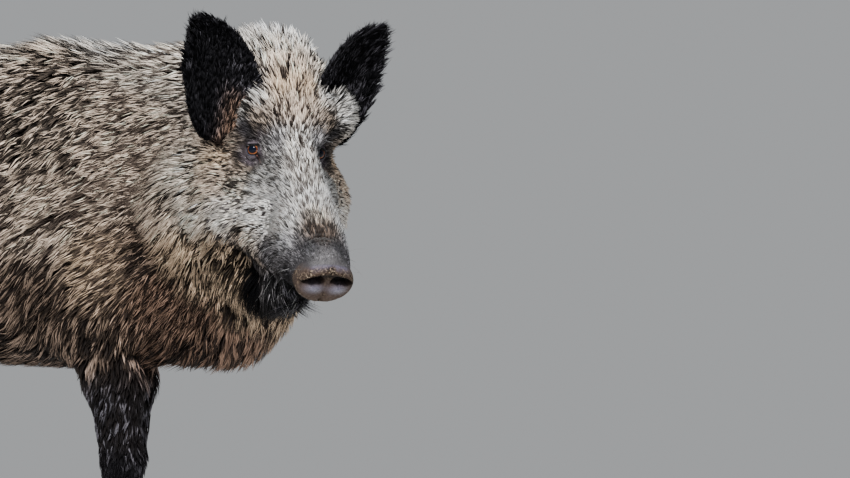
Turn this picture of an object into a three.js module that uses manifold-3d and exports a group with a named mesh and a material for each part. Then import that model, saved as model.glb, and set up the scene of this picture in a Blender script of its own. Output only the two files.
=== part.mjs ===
// A wild boar in winter coat, life size, standing square with its head lowered and turned to its right.
// Millimetres, +Z up. The animal faces -Y and its left side is towards +X. It stands on z = 0.
// Each solid of flesh reaches out to the tips of the coat. The body is one smooth shape, given by a function
// that is negative inside it, and thin plane cuts part it into head, neck, trunk and legs.
import * as THREE from 'three';
import { mergeVertices } from 'three/addons/utils/BufferGeometryUtils.js';
import { SimplifyModifier } from 'three/addons/modifiers/SimplifyModifier.js';
import Module from 'manifold-3d';

const wasm = await Module();
wasm.setup();

const { lerp, clamp, degToRad } = THREE.MathUtils;

// ---------------------------------------------------------------- driving sizes

const CUT = 0.8; // width of the thin cuts between the solids
const EYE_HEIGHT = 642; // the midpoint between the eyes, above the ground
const HEAD_TURN = degToRad(59.7); // of the head to its right, from straight ahead
const HEAD_PITCH = degToRad(50); // of the line from the eyes to the snout, below level
const HEAD_ROLL = degToRad(4); // left side of the head down
const MUZZLE = 236; // from the midpoint between the eyes to the middle of the snout's disc
const EYE_RADIUS = 12.5;
const EYE_SPREAD = 44; // from the middle of the head to the middle of an eyeball

// Course of the backbone seen from above, from the rump to inside the back of the head.
const BACKBONE = [
  [0, 552],
  [0, 300],
  [0, 60],
  [0, -140],
  [-8, -270],
  [-48, -368],
  [-118, -420],
  [-176, -430],
];

// Sections of trunk and neck: distance along the backbone, height of the back, height of the belly, half width.
const TRUNK_SECTIONS = [
  [0, 620, 520, 34],
  [30, 668, 455, 78],
  [90, 704, 412, 114],
  [180, 728, 392, 134],
  [300, 742, 376, 147],
  [430, 765, 362, 156],
  [520, 788, 352, 158],
  [595, 804, 347, 158],
  [650, 807, 345, 157],
  [720, 803, 345, 154],
  [790, 799, 347, 141],
  [870, 801, 346, 120],
  [950, 806, 350, 100],
  [1020, 802, 398, 85],
  [1100, 790, 450, 66],
];
const RUMP_ROUNDING = 26; // how far the rump bulges behind the backbone's end
const WIDEST_AT = 0.44; // height of the widest place, as a share of the depth

const P = (x, y, z) => new THREE.Vector3(x, y, z);
const Skull = (forward, up, left) => P(left, -forward, up); // a place in the head's own frame

// Sections of skull and muzzle: forward of the eyes, height of the middle, half height, half width.
const SKULL_SECTIONS = [
  [-170, 8, 56, 78],
  [-120, 12, 65, 81],
  [-70, 10, 66, 71],
  [-25, 3, 58, 58],
  [10, -4, 51, 42],
  [50, -9, 52, 40],
  [100, -13, 53, 47],
  [150, -17, 51, 54],
  [190, -11, 43, 49],
  [222, -3, 35, 39],
];

// ---------------------------------------------------------------- shape functions

const smoothMin = (a, b, blend) => {
  const h = Math.max(blend - Math.abs(a - b), 0) / blend;
  return Math.min(a, b) - h * h * blend * 0.25;
};

const joined = (blend, fields) => (p) => {
  let value = fields[0](p);
  for (let i = 1; i < fields.length; i++) value = smoothMin(value, fields[i](p), blend);
  return value;
};

const hollowed = (blend, field, hollow) => (p) => -smoothMin(-field(p), hollow(p), blend);

// A limb or ridge from a to b, whose radius goes from ra to rb. Flat below 1 makes it narrower along x.
const limb = (a, b, ra, rb, flat = 1) => {
  const along = new THREE.Vector3().subVectors(b, a);
  const length2 = along.lengthSq();
  return (p) => {
    const dx = p.x - a.x;
    const dy = p.y - a.y;
    const dz = p.z - a.z;
    const t = clamp((dx * along.x + dy * along.y + dz * along.z) / length2, 0, 1);
    return Math.hypot((dx - t * along.x) / flat, dy - t * along.y, dz - t * along.z) - lerp(ra, rb, t);
  };
};

const swelling = (middle, radii) => (p) => {
  const x = (p.x - middle.x) / radii.x;
  const y = (p.y - middle.y) / radii.y;
  const z = (p.z - middle.z) / radii.z;
  const near = Math.hypot(x, y, z);
  return (near * (near - 1)) / Math.max(Math.hypot(x / radii.x, y / radii.y, z / radii.z), 1e-9);
};

// A section table read at any place along it, with smooth curves between its rows.
const sectionReader = (rows) => {
  const last = rows.length - 1;
  const row = (i) => rows[clamp(i, 0, last)];
  return (at) => {
    let i = 0;
    while (i < last - 1 && rows[i + 1][0] <= at) i++;
    const span = rows[i + 1][0] - rows[i][0];
    const t = clamp((at - rows[i][0]) / span, 0, 1);
    return rows[i].slice(1).map((value, column) => {
      const slope = (k) => {
        const before = row(k - 1);
        const after = row(k + 1);
        return ((after[column + 1] - before[column + 1]) / (after[0] - before[0])) * span;
      };
      const end = rows[i + 1][column + 1];
      const t2 = t * t;
      const t3 = t2 * t;
      return (
        value * (2 * t3 - 3 * t2 + 1) + slope(i) * (t3 - 2 * t2 + t) +
        end * (3 * t2 - 2 * t3) + slope(i + 1) * (t3 - t2)
      );
    });
  };
};

// Distance of a point from the wall of an oval section, along the line to the section's middle.
const ovalDistance = (across, up, beyond, halfWidth, halfHeight, cap) => {
  const share = Math.hypot(across / halfWidth, up / halfHeight, beyond / cap);
  const reach = Math.hypot(across, up, beyond);
  return share < 1e-6 ? -Math.min(halfWidth, halfHeight) : reach * (1 - 1 / share);
};

// ---------------------------------------------------------------- trunk and neck

const backbone = new THREE.CatmullRomCurve3(
  BACKBONE.map(([x, y]) => new THREE.Vector3(x, y, 0)), false, 'centripetal',
);
const VERTEBRAE = 60;
const vertebrae = backbone.getSpacedPoints(VERTEBRAE);
const VERTEBRA = backbone.getLength() / VERTEBRAE;
const trunkSection = sectionReader(TRUNK_SECTIONS);

const BEND_BLEND = 14; // evens out the inside of the neck's bend, where two stretches are almost as near

const trunkAndNeck = (p) => {
  const gaps = [];
  const places = [];
  let nearest = 0;
  let beyond = 0;
  for (let i = 0; i < VERTEBRAE; i++) {
    const a = vertebrae[i];
    const dx = vertebrae[i + 1].x - a.x;
    const dy = vertebrae[i + 1].y - a.y;
    const raw = ((p.x - a.x) * dx + (p.y - a.y) * dy) / (dx * dx + dy * dy);
    const t = clamp(raw, 0, 1);
    gaps.push(Math.hypot(p.x - a.x - t * dx, p.y - a.y - t * dy));
    places.push((i + t) * VERTEBRA);
    if (gaps[i] > gaps[nearest]) continue;
    nearest = i;
    beyond = Math.max(i === 0 ? -raw : 0, i === VERTEBRAE - 1 ? raw - 1 : 0, 0) * VERTEBRA;
  }
  let weights = 0;
  let at = 0;
  gaps.forEach((gap, i) => {
    const weight = Math.exp((gaps[nearest] - gap) / BEND_BLEND);
    weights += weight;
    at += weight * places[i];
  });
  const [back, belly, halfWidth] = trunkSection(at / weights);
  const middle = lerp(belly, back, WIDEST_AT);
  const up = p.z - middle;
  const across = Math.sqrt(Math.max(gaps[nearest] ** 2 - beyond ** 2, 0));
  return ovalDistance(across, up, beyond, halfWidth, up > 0 ? back - middle : middle - belly, RUMP_ROUNDING);
};

// ---------------------------------------------------------------- head, in its own frame

const headFrame = new THREE.Group();
headFrame.rotation.set(HEAD_PITCH, HEAD_ROLL, -HEAD_TURN, 'ZXY');
headFrame.position.set(-219, -474, EYE_HEIGHT);
headFrame.updateMatrixWorld(true);
const intoHead = headFrame.matrixWorld.clone().invert();

const skullSection = sectionReader(SKULL_SECTIONS);
const [SKULL_BACK] = SKULL_SECTIONS[0];
const [SKULL_FRONT] = SKULL_SECTIONS[SKULL_SECTIONS.length - 1];

const skull = (p) => {
  const forward = -p.y;
  const beyond = Math.max(SKULL_BACK - forward, forward - SKULL_FRONT, 0);
  const [middle, halfHeight, halfWidth] = skullSection(clamp(forward, SKULL_BACK, SKULL_FRONT));
  return ovalDistance(p.x, p.z - middle, beyond, halfWidth, halfHeight, 20);
};

const sides = [1, -1]; // left, right
const onBothSides = (make) => sides.map(make);

const jaw = joined(22, [
  limb(Skull(180, -56, 0), Skull(110, -76, 0), 22, 34),
  limb(Skull(166, -88, 2), Skull(114, -134, 2), 30, 46), // beard
  ...onBothSides((s) => joined(20, [
    limb(Skull(110, -70, 16 * s), Skull(-30, -112, 46 * s), 32, 52),
    limb(Skull(152, -42, 30 * s), Skull(40, -74, 52 * s), 20, 36), // lips
  ])),
]);
const cheeks = joined(26, onBothSides((s) => joined(30, [
  swelling(Skull(14, -94, 66 * s), P(51, 62, 60)), // masseter
  swelling(Skull(44, -32, 46 * s), P(24, 46, 32)), // below the eye
  swelling(Skull(-42, -172, 46 * s), P(102, 92, 124)), // ruff of the throat, pushed wide by the bent neck
])));
// Long hair in front of the ears stands out further on the left, where the ear is turned out.
const temples = joined(20, [
  swelling(Skull(-64, 6, 63), P(48, 44, 49)),
  swelling(Skull(-66, -22, -48), P(36, 42, 42)),
]);
const brows = joined(10, onBothSides((s) => limb(Skull(-38, 34, 50 * s), Skull(0, 31, 39 * s), 15, 9)));
const zygomata = joined(10, onBothSides((s) => limb(Skull(-70, -30, 60 * s), Skull(20, -34, 42 * s), 20, 14)));

const flesh = joined(20, [skull, jaw, cheeks, temples, brows, zygomata]);
const EYE = { forward: -6, up: -5 }; // middle of an eyeball, forward of and above the head's origin
const ORBIT = { forward: 14, up: 9, out: 22, radii: P(19, 30, 23) }; // a hollow in front of each eyeball
const orbits = joined(4, onBothSides((s) => swelling(
  Skull(EYE.forward + ORBIT.forward, EYE.up + ORBIT.up, (EYE_SPREAD + ORBIT.out) * s), ORBIT.radii,
)));
const headShape = hollowed(10, flesh, orbits);

// The disc at the snout's end leans back, so that it faces more forward than the muzzle points.
const DISC = { width: 41, height: 31, thickness: 8, lean: degToRad(13) };
const NOSTRIL = { apart: 20, up: 10, width: 13, height: 5, depth: 16 };
const discFrame = new THREE.Group();
discFrame.position.copy(Skull(MUZZLE - DISC.thickness, 0, 0));
discFrame.rotation.x = -DISC.lean;
discFrame.updateMatrixWorld(true);
const intoDisc = discFrame.matrixWorld.clone().invert();

const snoutShape = (() => {
  const scratch = new THREE.Vector3();
  const plate = swelling(new THREE.Vector3(), new THREE.Vector3(DISC.width, DISC.thickness * 1.6, DISC.height));
  const rim = (p) => {
    const share = Math.hypot(p.x / DISC.width, p.z / DISC.height);
    const inPlane = (share - 1) * DISC.height;
    return Math.hypot(Math.max(inPlane + DISC.thickness, 0), Math.max(Math.abs(p.y) - 1, 0)) - DISC.thickness;
  };
  const nostrils = joined(2, onBothSides((s) => swelling(
    new THREE.Vector3(NOSTRIL.apart * s, -DISC.thickness, NOSTRIL.up),
    new THREE.Vector3(NOSTRIL.width, NOSTRIL.depth, NOSTRIL.height),
  )));
  const disc = hollowed(4, joined(6, [plate, rim]), nostrils);
  const neckOfDisc = joined(8, [headShape, (p) => disc(scratch.copy(p).applyMatrix4(intoDisc))]);
  return hollowed(4, neckOfDisc, (p) => nostrils(scratch.copy(p).applyMatrix4(intoDisc)));
})();

// ---------------------------------------------------------------- legs

const FORE = { x: 84, y: -196 };
const HIND = { x: 78, y: 462 };
const STEP = { fore: [14, -26], hind: [-34, 30] }; // how far left and right feet stand off their rank, along y

const foreleg = (s, step) => {
  const x = FORE.x * s;
  const y = FORE.y;
  return joined(14, [
    swelling(P(92 * s, y + 10, 520), P(62, 96, 170)), // shoulder
    limb(P(94 * s, y + 18, 420), P(x, y + step * 0.4, 330), 60, 41, 0.85),
    limb(P(x, y + step * 0.4, 330), P(x, y + step * 0.8, 214), 41, 28, 0.92),
    limb(P(x, y + step * 0.8 - 4, 222), P(x, y + step * 0.8, 196), 29, 26, 0.92),
    limb(P(x, y + step * 0.8, 200), P(x, y + step, 104), 23.5, 21, 0.92),
    limb(P(x, y + step + 2, 98), P(x, y + step - 4, 84), 26, 25),
    limb(P(x, y + step - 2, 88), P(x, y + step - 18, 46), 23, 27, 1.02),
  ]);
};

const hindleg = (s, step) => {
  const x = HIND.x * s;
  const y = HIND.y;
  return joined(16, [
    swelling(P(78 * s, y - 24, 545), P(60, 116, 150)), // ham
    limb(P(84 * s, y - 72, 480), P(90 * s, y - 104, 398), 78, 54, 0.75),
    limb(P(88 * s, y - 90, 404), P(x, y + step * 0.8 + 20, 266), 60, 33, 0.72),
    limb(P(x, y + step * 0.8 + 24, 270), P(x, y + step * 0.8 + 20, 228), 29, 29, 0.82),
    limb(P(x, y + step * 0.8 + 18, 232), P(x, y + step, 108), 27, 22, 0.88),
    limb(P(x, y + step, 102), P(x, y + step - 5, 86), 26, 25),
    limb(P(x, y + step - 3, 88), P(x, y + step - 18, 46), 23, 27, 1.02),
  ]);
};

const legs = sides.flatMap((s, i) => [foreleg(s, STEP.fore[i]), hindleg(s, STEP.hind[i])]);

// ---------------------------------------------------------------- the whole body

const inPlace = (field) => {
  const scratch = new THREE.Vector3();
  return (p) => field(scratch.copy(p).applyMatrix4(intoHead));
};
const bodyWith = (headField) => joined(34, [joined(40, [trunkAndNeck, inPlace(headField)]), ...legs]);
const body = bodyWith(headShape);

// ---------------------------------------------------------------- surfaces of the body shape

// The surface where a field is zero, as a closed mesh of about one point per cell of a grid.
// It is closed off where the shape leaves the box.
const polygonized = (field, box, step) => {
  const size = box.getSize(new THREE.Vector3());
  const count = ['x', 'y', 'z'].map((k) => Math.max(2, Math.round(size[k] / step[k])));
  const cell = P(size.x / count[0], size.y / count[1], size.z / count[2]);
  const [nx, ny, nz] = count.map((n) => n + 3); // one more cell all round, outside the shape
  const at = (i, j, k) => (k * ny + j) * nx + i;
  const place = (i, j, k) => P(i - 1, j - 1, k - 1).multiply(cell).add(box.min);
  const values = new Float64Array(nx * ny * nz);
  for (let k = 0; k < nz; k++) {
    for (let j = 0; j < ny; j++) {
      for (let i = 0; i < nx; i++) {
        const rim = i === 0 || j === 0 || k === 0 || i === nx - 1 || j === ny - 1 || k === nz - 1;
        values[at(i, j, k)] = rim ? Math.max(cell.x, cell.y, cell.z) : field(place(i, j, k));
      }
    }
  }
  const points = [];
  const pointOf = new Map();
  const corners = [0, 1, 2, 3, 4, 5, 6, 7].map((c) => [c & 1, (c >> 1) & 1, c >> 2]);
  const edges = corners.flatMap((a, i) => [1, 2, 4].filter((bit) => !(i & bit)).map((bit) => [i, i | bit]));
  const cellPoint = (i, j, k) => {
    const key = at(i, j, k);
    if (pointOf.has(key)) return pointOf.get(key);
    const value = corners.map(([a, b, c]) => values[at(i + a, j + b, k + c)]);
    const middle = P(0, 0, 0);
    let crossings = 0;
    for (const [a, b] of edges) {
      if (value[a] < 0 === value[b] < 0) continue;
      const t = value[a] / (value[a] - value[b]);
      const from = corners[a];
      const to = corners[b];
      middle.add(P(lerp(from[0], to[0], t), lerp(from[1], to[1], t), lerp(from[2], to[2], t)));
      crossings += 1;
    }
    middle.divideScalar(crossings).add(P(i - 1, j - 1, k - 1)).multiply(cell).add(box.min);
    if (box.containsPoint(middle)) settle(field, middle, Math.min(cell.x, cell.y, cell.z) * 0.45);
    pointOf.set(key, points.length / 3);
    points.push(middle.x, middle.y, middle.z);
    return pointOf.get(key);
  };
  const index = [];
  const axes = [[1, 0, 0], [0, 1, 0], [0, 0, 1]];
  for (let k = 0; k < nz - 1; k++) {
    for (let j = 0; j < ny - 1; j++) {
      for (let i = 0; i < nx - 1; i++) {
        axes.forEach((axis, n) => {
          const inside = values[at(i, j, k)] < 0;
          if (inside === values[at(i + axis[0], j + axis[1], k + axis[2])] < 0) return;
          const u = axes[(n + 1) % 3];
          const v = axes[(n + 2) % 3];
          const ring = [[0, 0], [1, 0], [1, 1], [0, 1]].map(([a, b]) => cellPoint(
            i - a * u[0] - b * v[0], j - a * u[1] - b * v[1], k - a * u[2] - b * v[2],
          ));
          if (!inside) ring.reverse();
          index.push(ring[0], ring[1], ring[2], ring[0], ring[2], ring[3]);
        });
      }
    }
  }
  return meshOf(points, index);
};

// Moves a point on to the zero surface of a field, by no more than a set distance.
const settle = (field, point, most) => {
  const start = point.clone();
  const probe = P(0, 0, 0);
  const slope = P(0, 0, 0);
  for (let turn = 0; turn < 3; turn++) {
    for (const k of ['x', 'y', 'z']) {
      probe.copy(point);
      probe[k] += 0.5;
      const ahead = field(probe);
      probe[k] -= 1;
      slope[k] = ahead - field(probe);
    }
    const steepness2 = Math.max(slope.lengthSq(), 1e-4);
    point.addScaledVector(slope, -field(point) / steepness2);
  }
  point.sub(start).clampLength(0, most).add(start);
};

const meshOf = (points, index) => {
  const geometry = new THREE.BufferGeometry();
  geometry.setAttribute('position', new THREE.Float32BufferAttribute(points, 3));
  geometry.setIndex(index);
  return geometry;
};

// The same closed surface with about so many triangles, kept where it curves most.
const simplified = async (geometry, triangles) => {
  const surplus = geometry.attributes.position.count - triangles / 2;
  return surplus > 0 ? new SimplifyModifier().modify(geometry, Math.round(surplus)) : geometry;
};

const solidOf = (geometry) => {
  for (const name of ['normal', 'uv']) geometry.deleteAttribute(name);
  const { attributes, index } = mergeVertices(geometry, 1e-4);
  return new wasm.Manifold(new wasm.Mesh({
    numProp: 3, vertProperties: attributes.position.array, triVerts: new Uint32Array(index.array),
  }));
};

// A closed solid through a row of rings with equally many points, each listed anticlockwise seen from the last.
const lofted = (rings) => {
  const around = rings[0].length;
  const points = rings.flat().flatMap((p) => [p.x, p.y, p.z]);
  const index = [];
  for (let r = 0; r < rings.length - 1; r++) {
    for (let i = 0; i < around; i++) {
      const a = r * around + i;
      const b = r * around + ((i + 1) % around);
      index.push(a, b, b + around, a, b + around, a + around);
    }
  }
  const close = (ring, first, flip) => {
    const middle = ring.reduce((sum, p) => sum.add(p), P(0, 0, 0)).divideScalar(around);
    const hub = points.length / 3;
    points.push(middle.x, middle.y, middle.z);
    for (let i = 0; i < around; i++) {
      const a = first + i;
      const b = first + ((i + 1) % around);
      index.push(hub, ...(flip ? [b, a] : [a, b]));
    }
  };
  close(rings[0], 0, true);
  close(rings[rings.length - 1], (rings.length - 1) * around, false);
  const made = solidOf(meshOf(points, index));
  if (made.volume() > 0) return made;
  for (let i = 0; i < index.length; i += 3) [index[i + 1], index[i + 2]] = [index[i + 2], index[i + 1]];
  return solidOf(meshOf(points, index));
};

// A half of space as a huge block: the side of the plane through a point that its normal points to.
const HUGE = 4000;
const halfSpace = (point, normal, setBack = 0) => {
  const way = normal.clone().normalize();
  const turn = new THREE.Quaternion().setFromUnitVectors(P(0, 0, 1), way);
  const block = new THREE.BoxGeometry(HUGE, HUGE, HUGE).translate(0, 0, HUGE / 2);
  block.applyQuaternion(turn).translate(...point.clone().addScaledVector(way, setBack));
  return solidOf(block);
};
const common = (solids) => solids.reduce((a, b) => a.intersect(b));

// ---------------------------------------------------------------- where the body is cut

const headPoint = (forward, up, left) => Skull(forward, up, left).applyMatrix4(headFrame.matrixWorld);
const headWay = (forward, up, left) => Skull(forward, up, left).transformDirection(headFrame.matrixWorld);

const HEAD_CUT = { point: headPoint(-88, -40, 0), way: headWay(1, 0.12, 0) }; // head in front, neck behind
const SNOUT_CUT = { point: headPoint(172, 0, 0), way: headWay(1, 0.1, 0) };
const JAW_CUT = { point: headPoint(150, -52, 0), way: headWay(-0.12, -1, 0) }; // jaw below
const JAW_BACK = { point: headPoint(40, 0, 0), way: headWay(1, 0, 0) }; // jaw in front
const THROAT_CUT = { point: headPoint(40, -222, 0), way: headWay(0.5, 0.87, 0) }; // head above, throat below
const NECK_CUT = { point: P(-8, -230, 560), way: P(-0.16, -1, 0.2) }; // neck in front, trunk behind

const beyond = ({ point, way }, gap = CUT / 2) => halfSpace(point, way, gap);
const behind = ({ point, way }, gap = CUT / 2) => halfSpace(point, way.clone().negate(), gap);

// Each leg is what lies below and outside one plane, between one in front of it and one behind it.
const legSpace = {
  fore: (s, gap = CUT / 2) => common([
    halfSpace(P(48 * s, -200, 338), P(0.62 * s, 0, -0.78), gap),
    halfSpace(P(0, -304, 350), P(0, 1, 0), gap),
    halfSpace(P(0, -112, 350), P(0, -1, -0.2), gap),
  ]),
  hind: (s, gap = CUT / 2) => common([
    halfSpace(P(36 * s, 330, 378), P(0.5 * s, 0.34, -0.8), gap),
    halfSpace(P(0, 262, 350), P(0, 1, -0.3), gap),
  ]),
};
const legBox = {
  fore: (s) => new THREE.Box3(P(s > 0 ? 8 : -190, -320, 0), P(s > 0 ? 190 : -8, -90, 480)),
  hind: (s) => new THREE.Box3(P(s > 0 ? 8 : -190, 235, 0), P(s > 0 ? 190 : -8, 600, 600)),
};

// ---------------------------------------------------------------- solids

const looks = {
  coat: new THREE.MeshStandardMaterial({ color: 0x7d7263, roughness: 0.85, metalness: 0 }),
  darkCoat: new THREE.MeshStandardMaterial({ color: 0x1c1b20, roughness: 0.85, metalness: 0 }),
  face: new THREE.MeshStandardMaterial({ color: 0x8a8178, roughness: 0.85, metalness: 0 }),
  skin: new THREE.MeshStandardMaterial({ color: 0x6d625f, roughness: 0.45, metalness: 0 }),
  eye: new THREE.MeshStandardMaterial({ color: 0x4a2412, roughness: 0.08, metalness: 0 }),
  horn: new THREE.MeshStandardMaterial({ color: 0x2b2724, roughness: 0.5, metalness: 0 }),
};

const boar = new THREE.Group();
boar.add(headFrame);

// Adds a solid, given in the body's frame, to the body or to the head's own group.
const add = (name, solid, look, frame = boar) => {
  const { vertProperties, triVerts, numVert, numProp } = solid.getMesh();
  const place = (_, i) => vertProperties[Math.floor(i / 3) * numProp + (i % 3)];
  const points = Array.from({ length: numVert * 3 }, place);
  const geometry = meshOf(points, Array.from(triVerts));
  if (frame === headFrame) geometry.applyMatrix4(intoHead);
  const piece = new THREE.Mesh(geometry, look);
  piece.name = name;
  frame.add(piece);
};
const largest = (solid) => solid.decompose().sort((a, b) => b.volume() - a.volume())[0];

// Eyeballs, each in a socket a hair wider than itself.
const eyeball = (s, grown = 0) => {
  const ball = new THREE.SphereGeometry(EYE_RADIUS + grown, 11, 7);
  ball.rotateZ(Math.PI / 2).translate(...Skull(EYE.forward, EYE.up, EYE_SPREAD * s));
  ball.applyMatrix4(headFrame.matrixWorld);
  return solidOf(ball);
};

// An ear: a cupped leaf that rises from the temple and opens forward.
const EAR = {
  // up the head, distance out from its middle, half width of the leaf
  stations: [
    [-46, 84, 22],
    [-24, 88, 41],
    [4, 90, 54],
    [34, 89, 64],
    [62, 91, 63],
    [88, 97, 55],
    [110, 105, 41],
    [126, 112, 21],
  ],
  back: [56, 0.36], // how far behind the eyes the leaf is at the eyes' height, and its rake
  thickness: [15, 6],
  cup: [degToRad(74), degToRad(34)],
  open: degToRad(25), // of the hollow side, from straight ahead towards the animal's side
  shift: { left: 7, right: 0 }, // how much further out the ear is
  lean: { left: -5, right: 14 }, // and its tip
};
const ear = (s, grown = 0) => {
  const ACROSS = 7;
  const side = s > 0 ? 'left' : 'right';
  const hollow = Skull(Math.cos(EAR.open), 0.3, Math.sin(EAR.open)).normalize();
  const across = Skull(-Math.sin(EAR.open), 0, Math.cos(EAR.open));
  const last = EAR.stations.length - 1;
  const rings = EAR.stations.map(([up, out, halfWidth], r) => {
    const t = r / last;
    const thick = lerp(...EAR.thickness, t) / 2;
    const bend = lerp(...EAR.cup, t);
    const radius = halfWidth / bend;
    const end = r === 0 ? -grown : r === last ? grown : 0;
    const moved = EAR.shift[side] + EAR.lean[side] * t * t;
    const middle = Skull(-EAR.back[0] - EAR.back[1] * (up + 30), up + end, out + moved);
    const arc = (i, offset) => {
      const share = lerp(-1, 1, i / (ACROSS - 1));
      const a = share * (bend + grown / radius);
      const rim = offset * lerp(1, 0.35, Math.abs(share) ** 3) + Math.sign(offset) * grown;
      return middle.clone()
        .addScaledVector(across, Math.sin(a) * (radius + rim))
        .addScaledVector(hollow, radius * 0.6 - Math.cos(a) * (radius + rim));
    };
    const backs = Array.from({ length: ACROSS }, (_, i) => arc(i, thick));
    const fronts = Array.from({ length: ACROSS }, (_, i) => arc(ACROSS - 1 - i, -thick));
    return [...backs, ...fronts].map((p) => P(p.x * s, p.y, p.z).applyMatrix4(headFrame.matrixWorld));
  });
  return lofted(rings);
};

// The tail hangs from the rump, thins downwards and ends in a tuft.
const TAIL = {
  course: [P(0, 520, 648), P(0, 562, 640), P(2, 590, 580), P(4, 592, 500), P(2, 588, 440), P(0, 584, 385)],
  radii: [24, 22, 17, 13, 19, 5],
};
const tail = (grown = 0) => {
  const AROUND = 8;
  const curve = new THREE.CatmullRomCurve3(TAIL.course, false, 'centripetal');
  const rings = Array.from({ length: 13 }, (_, r) => {
    const t = r / 12;
    const place = curve.getPointAt(t);
    const way = curve.getTangentAt(t);
    const back = P(0, 1, 0).addScaledVector(way, -way.y).normalize();
    const left = new THREE.Vector3().crossVectors(back, way);
    const step = Math.min(Math.floor(t * 5), 4);
    const radius = lerp(TAIL.radii[step], TAIL.radii[step + 1], t * 5 - step) + grown;
    return Array.from({ length: AROUND }, (_, i) => {
      const a = (2 * Math.PI * i) / AROUND;
      return place.clone()
        .addScaledVector(left, Math.cos(a) * radius)
        .addScaledVector(back, Math.sin(a) * radius);
    });
  });
  return lofted(rings);
};

// A main hoof: a flat sole on the ground, a sloping wall in front and a rounded heel.
const HOOF = { length: 60, width: 26, height: 40, apart: 14.5, toeSlope: degToRad(56) };
const hoof = (foot, side, grown = 0) => {
  const AROUND = 10;
  const levels = [0, 20, HOOF.height];
  const rings = levels.map((level) => {
    const up = level / HOOF.height;
    const half = (HOOF.length / 2) * lerp(1, 0.72, up) + grown;
    const wide = (HOOF.width / 2) * (level === 0 ? 0.94 : lerp(1, 0.84, up)) + grown;
    const backwards = level / Math.tan(HOOF.toeSlope) - (HOOF.length / 2) * 0.28 * up;
    const height = level + (level === 0 ? -grown : level === HOOF.height ? grown : 0);
    return Array.from({ length: AROUND }, (_, i) => {
      const a = (2 * Math.PI * i) / AROUND;
      const toe = Math.cos(a);
      const taper = toe > 0 ? 1 - 0.42 * toe * toe : 1 - 0.12 * toe * toe;
      const x = foot.x + side * HOOF.apart + Math.sin(a) * wide * taper - side * 3 * Math.max(toe, 0);
      return P(x, foot.y - 8 + backwards - toe * half, height);
    });
  });
  return lofted(rings);
};

// A dewclaw: a blunt horny cone behind the foot, its tip just above the ground.
const dewclaw = (foot, side, grown = 0) => {
  const from = P(foot.x + side * 17, foot.y + 33, 66);
  const to = P(foot.x + side * 25, foot.y + 50, 27);
  const AROUND = 6;
  const way = new THREE.Vector3().subVectors(to, from).normalize();
  const left = new THREE.Vector3().crossVectors(P(0, 1, 0), way).normalize();
  const back = new THREE.Vector3().crossVectors(way, left);
  const rings = [[0, 12.5], [0.6, 11], [1, 5]].map(([t, radius]) => {
    const place = from.clone().lerp(to, t);
    return Array.from({ length: AROUND }, (_, i) => {
      const a = (2 * Math.PI * i) / AROUND;
      return place.clone()
        .addScaledVector(left, Math.cos(a) * (radius * 0.8 + grown))
        .addScaledVector(back, Math.sin(a) * (radius + grown));
    });
  });
  return lofted(rings);
};

const feet = sides.flatMap((s, i) => [
  { rank: 'fore', side: s > 0 ? 'left' : 'right', s, place: P(FORE.x * s, FORE.y + STEP.fore[i] - 18, 0) },
  { rank: 'hind', side: s > 0 ? 'left' : 'right', s, place: P(HIND.x * s, HIND.y + STEP.hind[i] - 18, 0) },
]);

// ---------------------------------------------------------------- cutting the body into its parts

const inBody = (geometry) => solidOf(geometry.applyMatrix4(headFrame.matrixWorld));
const bodyInHead = (p) => body(p.clone().applyMatrix4(headFrame.matrixWorld));

// Head, jaw and snout are made in the head's frame, on finer grids than the rest.
const headBox = new THREE.Box3(P(-190, -235, -260), P(190, 140, 135));
const headSolid = inBody(await simplified(polygonized(bodyInHead, headBox, P(9, 9, 9)), 2900));
const snoutBox = new THREE.Box3(P(-52, -250, -100), P(52, -158, 60));
const snoutSolid = inBody(await simplified(polygonized(snoutShape, snoutBox, P(4, 4, 4)), 1080));

const eyes = sides.map((s) => [s > 0 ? 'eye_left' : 'eye_right', s]);
const sockets = eyes.map(([, s]) => eyeball(s, 0.5));
const earRoots = sides.map((s) => ear(s, 0.45));

let head = common([headSolid, beyond(HEAD_CUT), beyond(THROAT_CUT), behind(SNOUT_CUT)]);
head = head.subtract(beyond(JAW_CUT, -CUT / 2).intersect(beyond(JAW_BACK, -CUT / 2)));
for (const hole of [...sockets, ...earRoots]) head = head.subtract(hole);
add('head', largest(head), looks.face, headFrame);
const jawSolid = common([headSolid, beyond(JAW_CUT), beyond(JAW_BACK), beyond(THROAT_CUT)]);
add('lower_jaw', largest(jawSolid), looks.darkCoat, headFrame);
add('snout', largest(common([snoutSolid, beyond(SNOUT_CUT), behind(JAW_CUT)])), looks.skin, headFrame);

const neckBox = new THREE.Box3(P(-330, -640, 250), P(190, -120, 900));
const neckSolid = solidOf(await simplified(polygonized(body, neckBox, P(16, 16, 16)), 950));
const headSpace = common([beyond(HEAD_CUT, -CUT / 2), beyond(THROAT_CUT, -CUT / 2)]);
let neck = neckSolid.intersect(beyond(NECK_CUT)).subtract(headSpace);
for (const hole of [...earRoots, ...sides.map((s) => legSpace.fore(s, -CUT / 2))]) neck = neck.subtract(hole);
add('neck', largest(neck), looks.coat);

const trunkBox = new THREE.Box3(P(-200, -330, 300), P(200, 620, 860));
const trunkSolid = solidOf(await simplified(polygonized(body, trunkBox, P(18, 20, 18)), 1450));
let trunk = trunkSolid.intersect(behind(NECK_CUT));
trunk = trunk.subtract(tail(0.5));
for (const { rank, s } of feet) trunk = trunk.subtract(legSpace[rank](s, -CUT / 2));
add('trunk', largest(trunk), looks.coat);
add('tail', tail(), looks.darkCoat);

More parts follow.
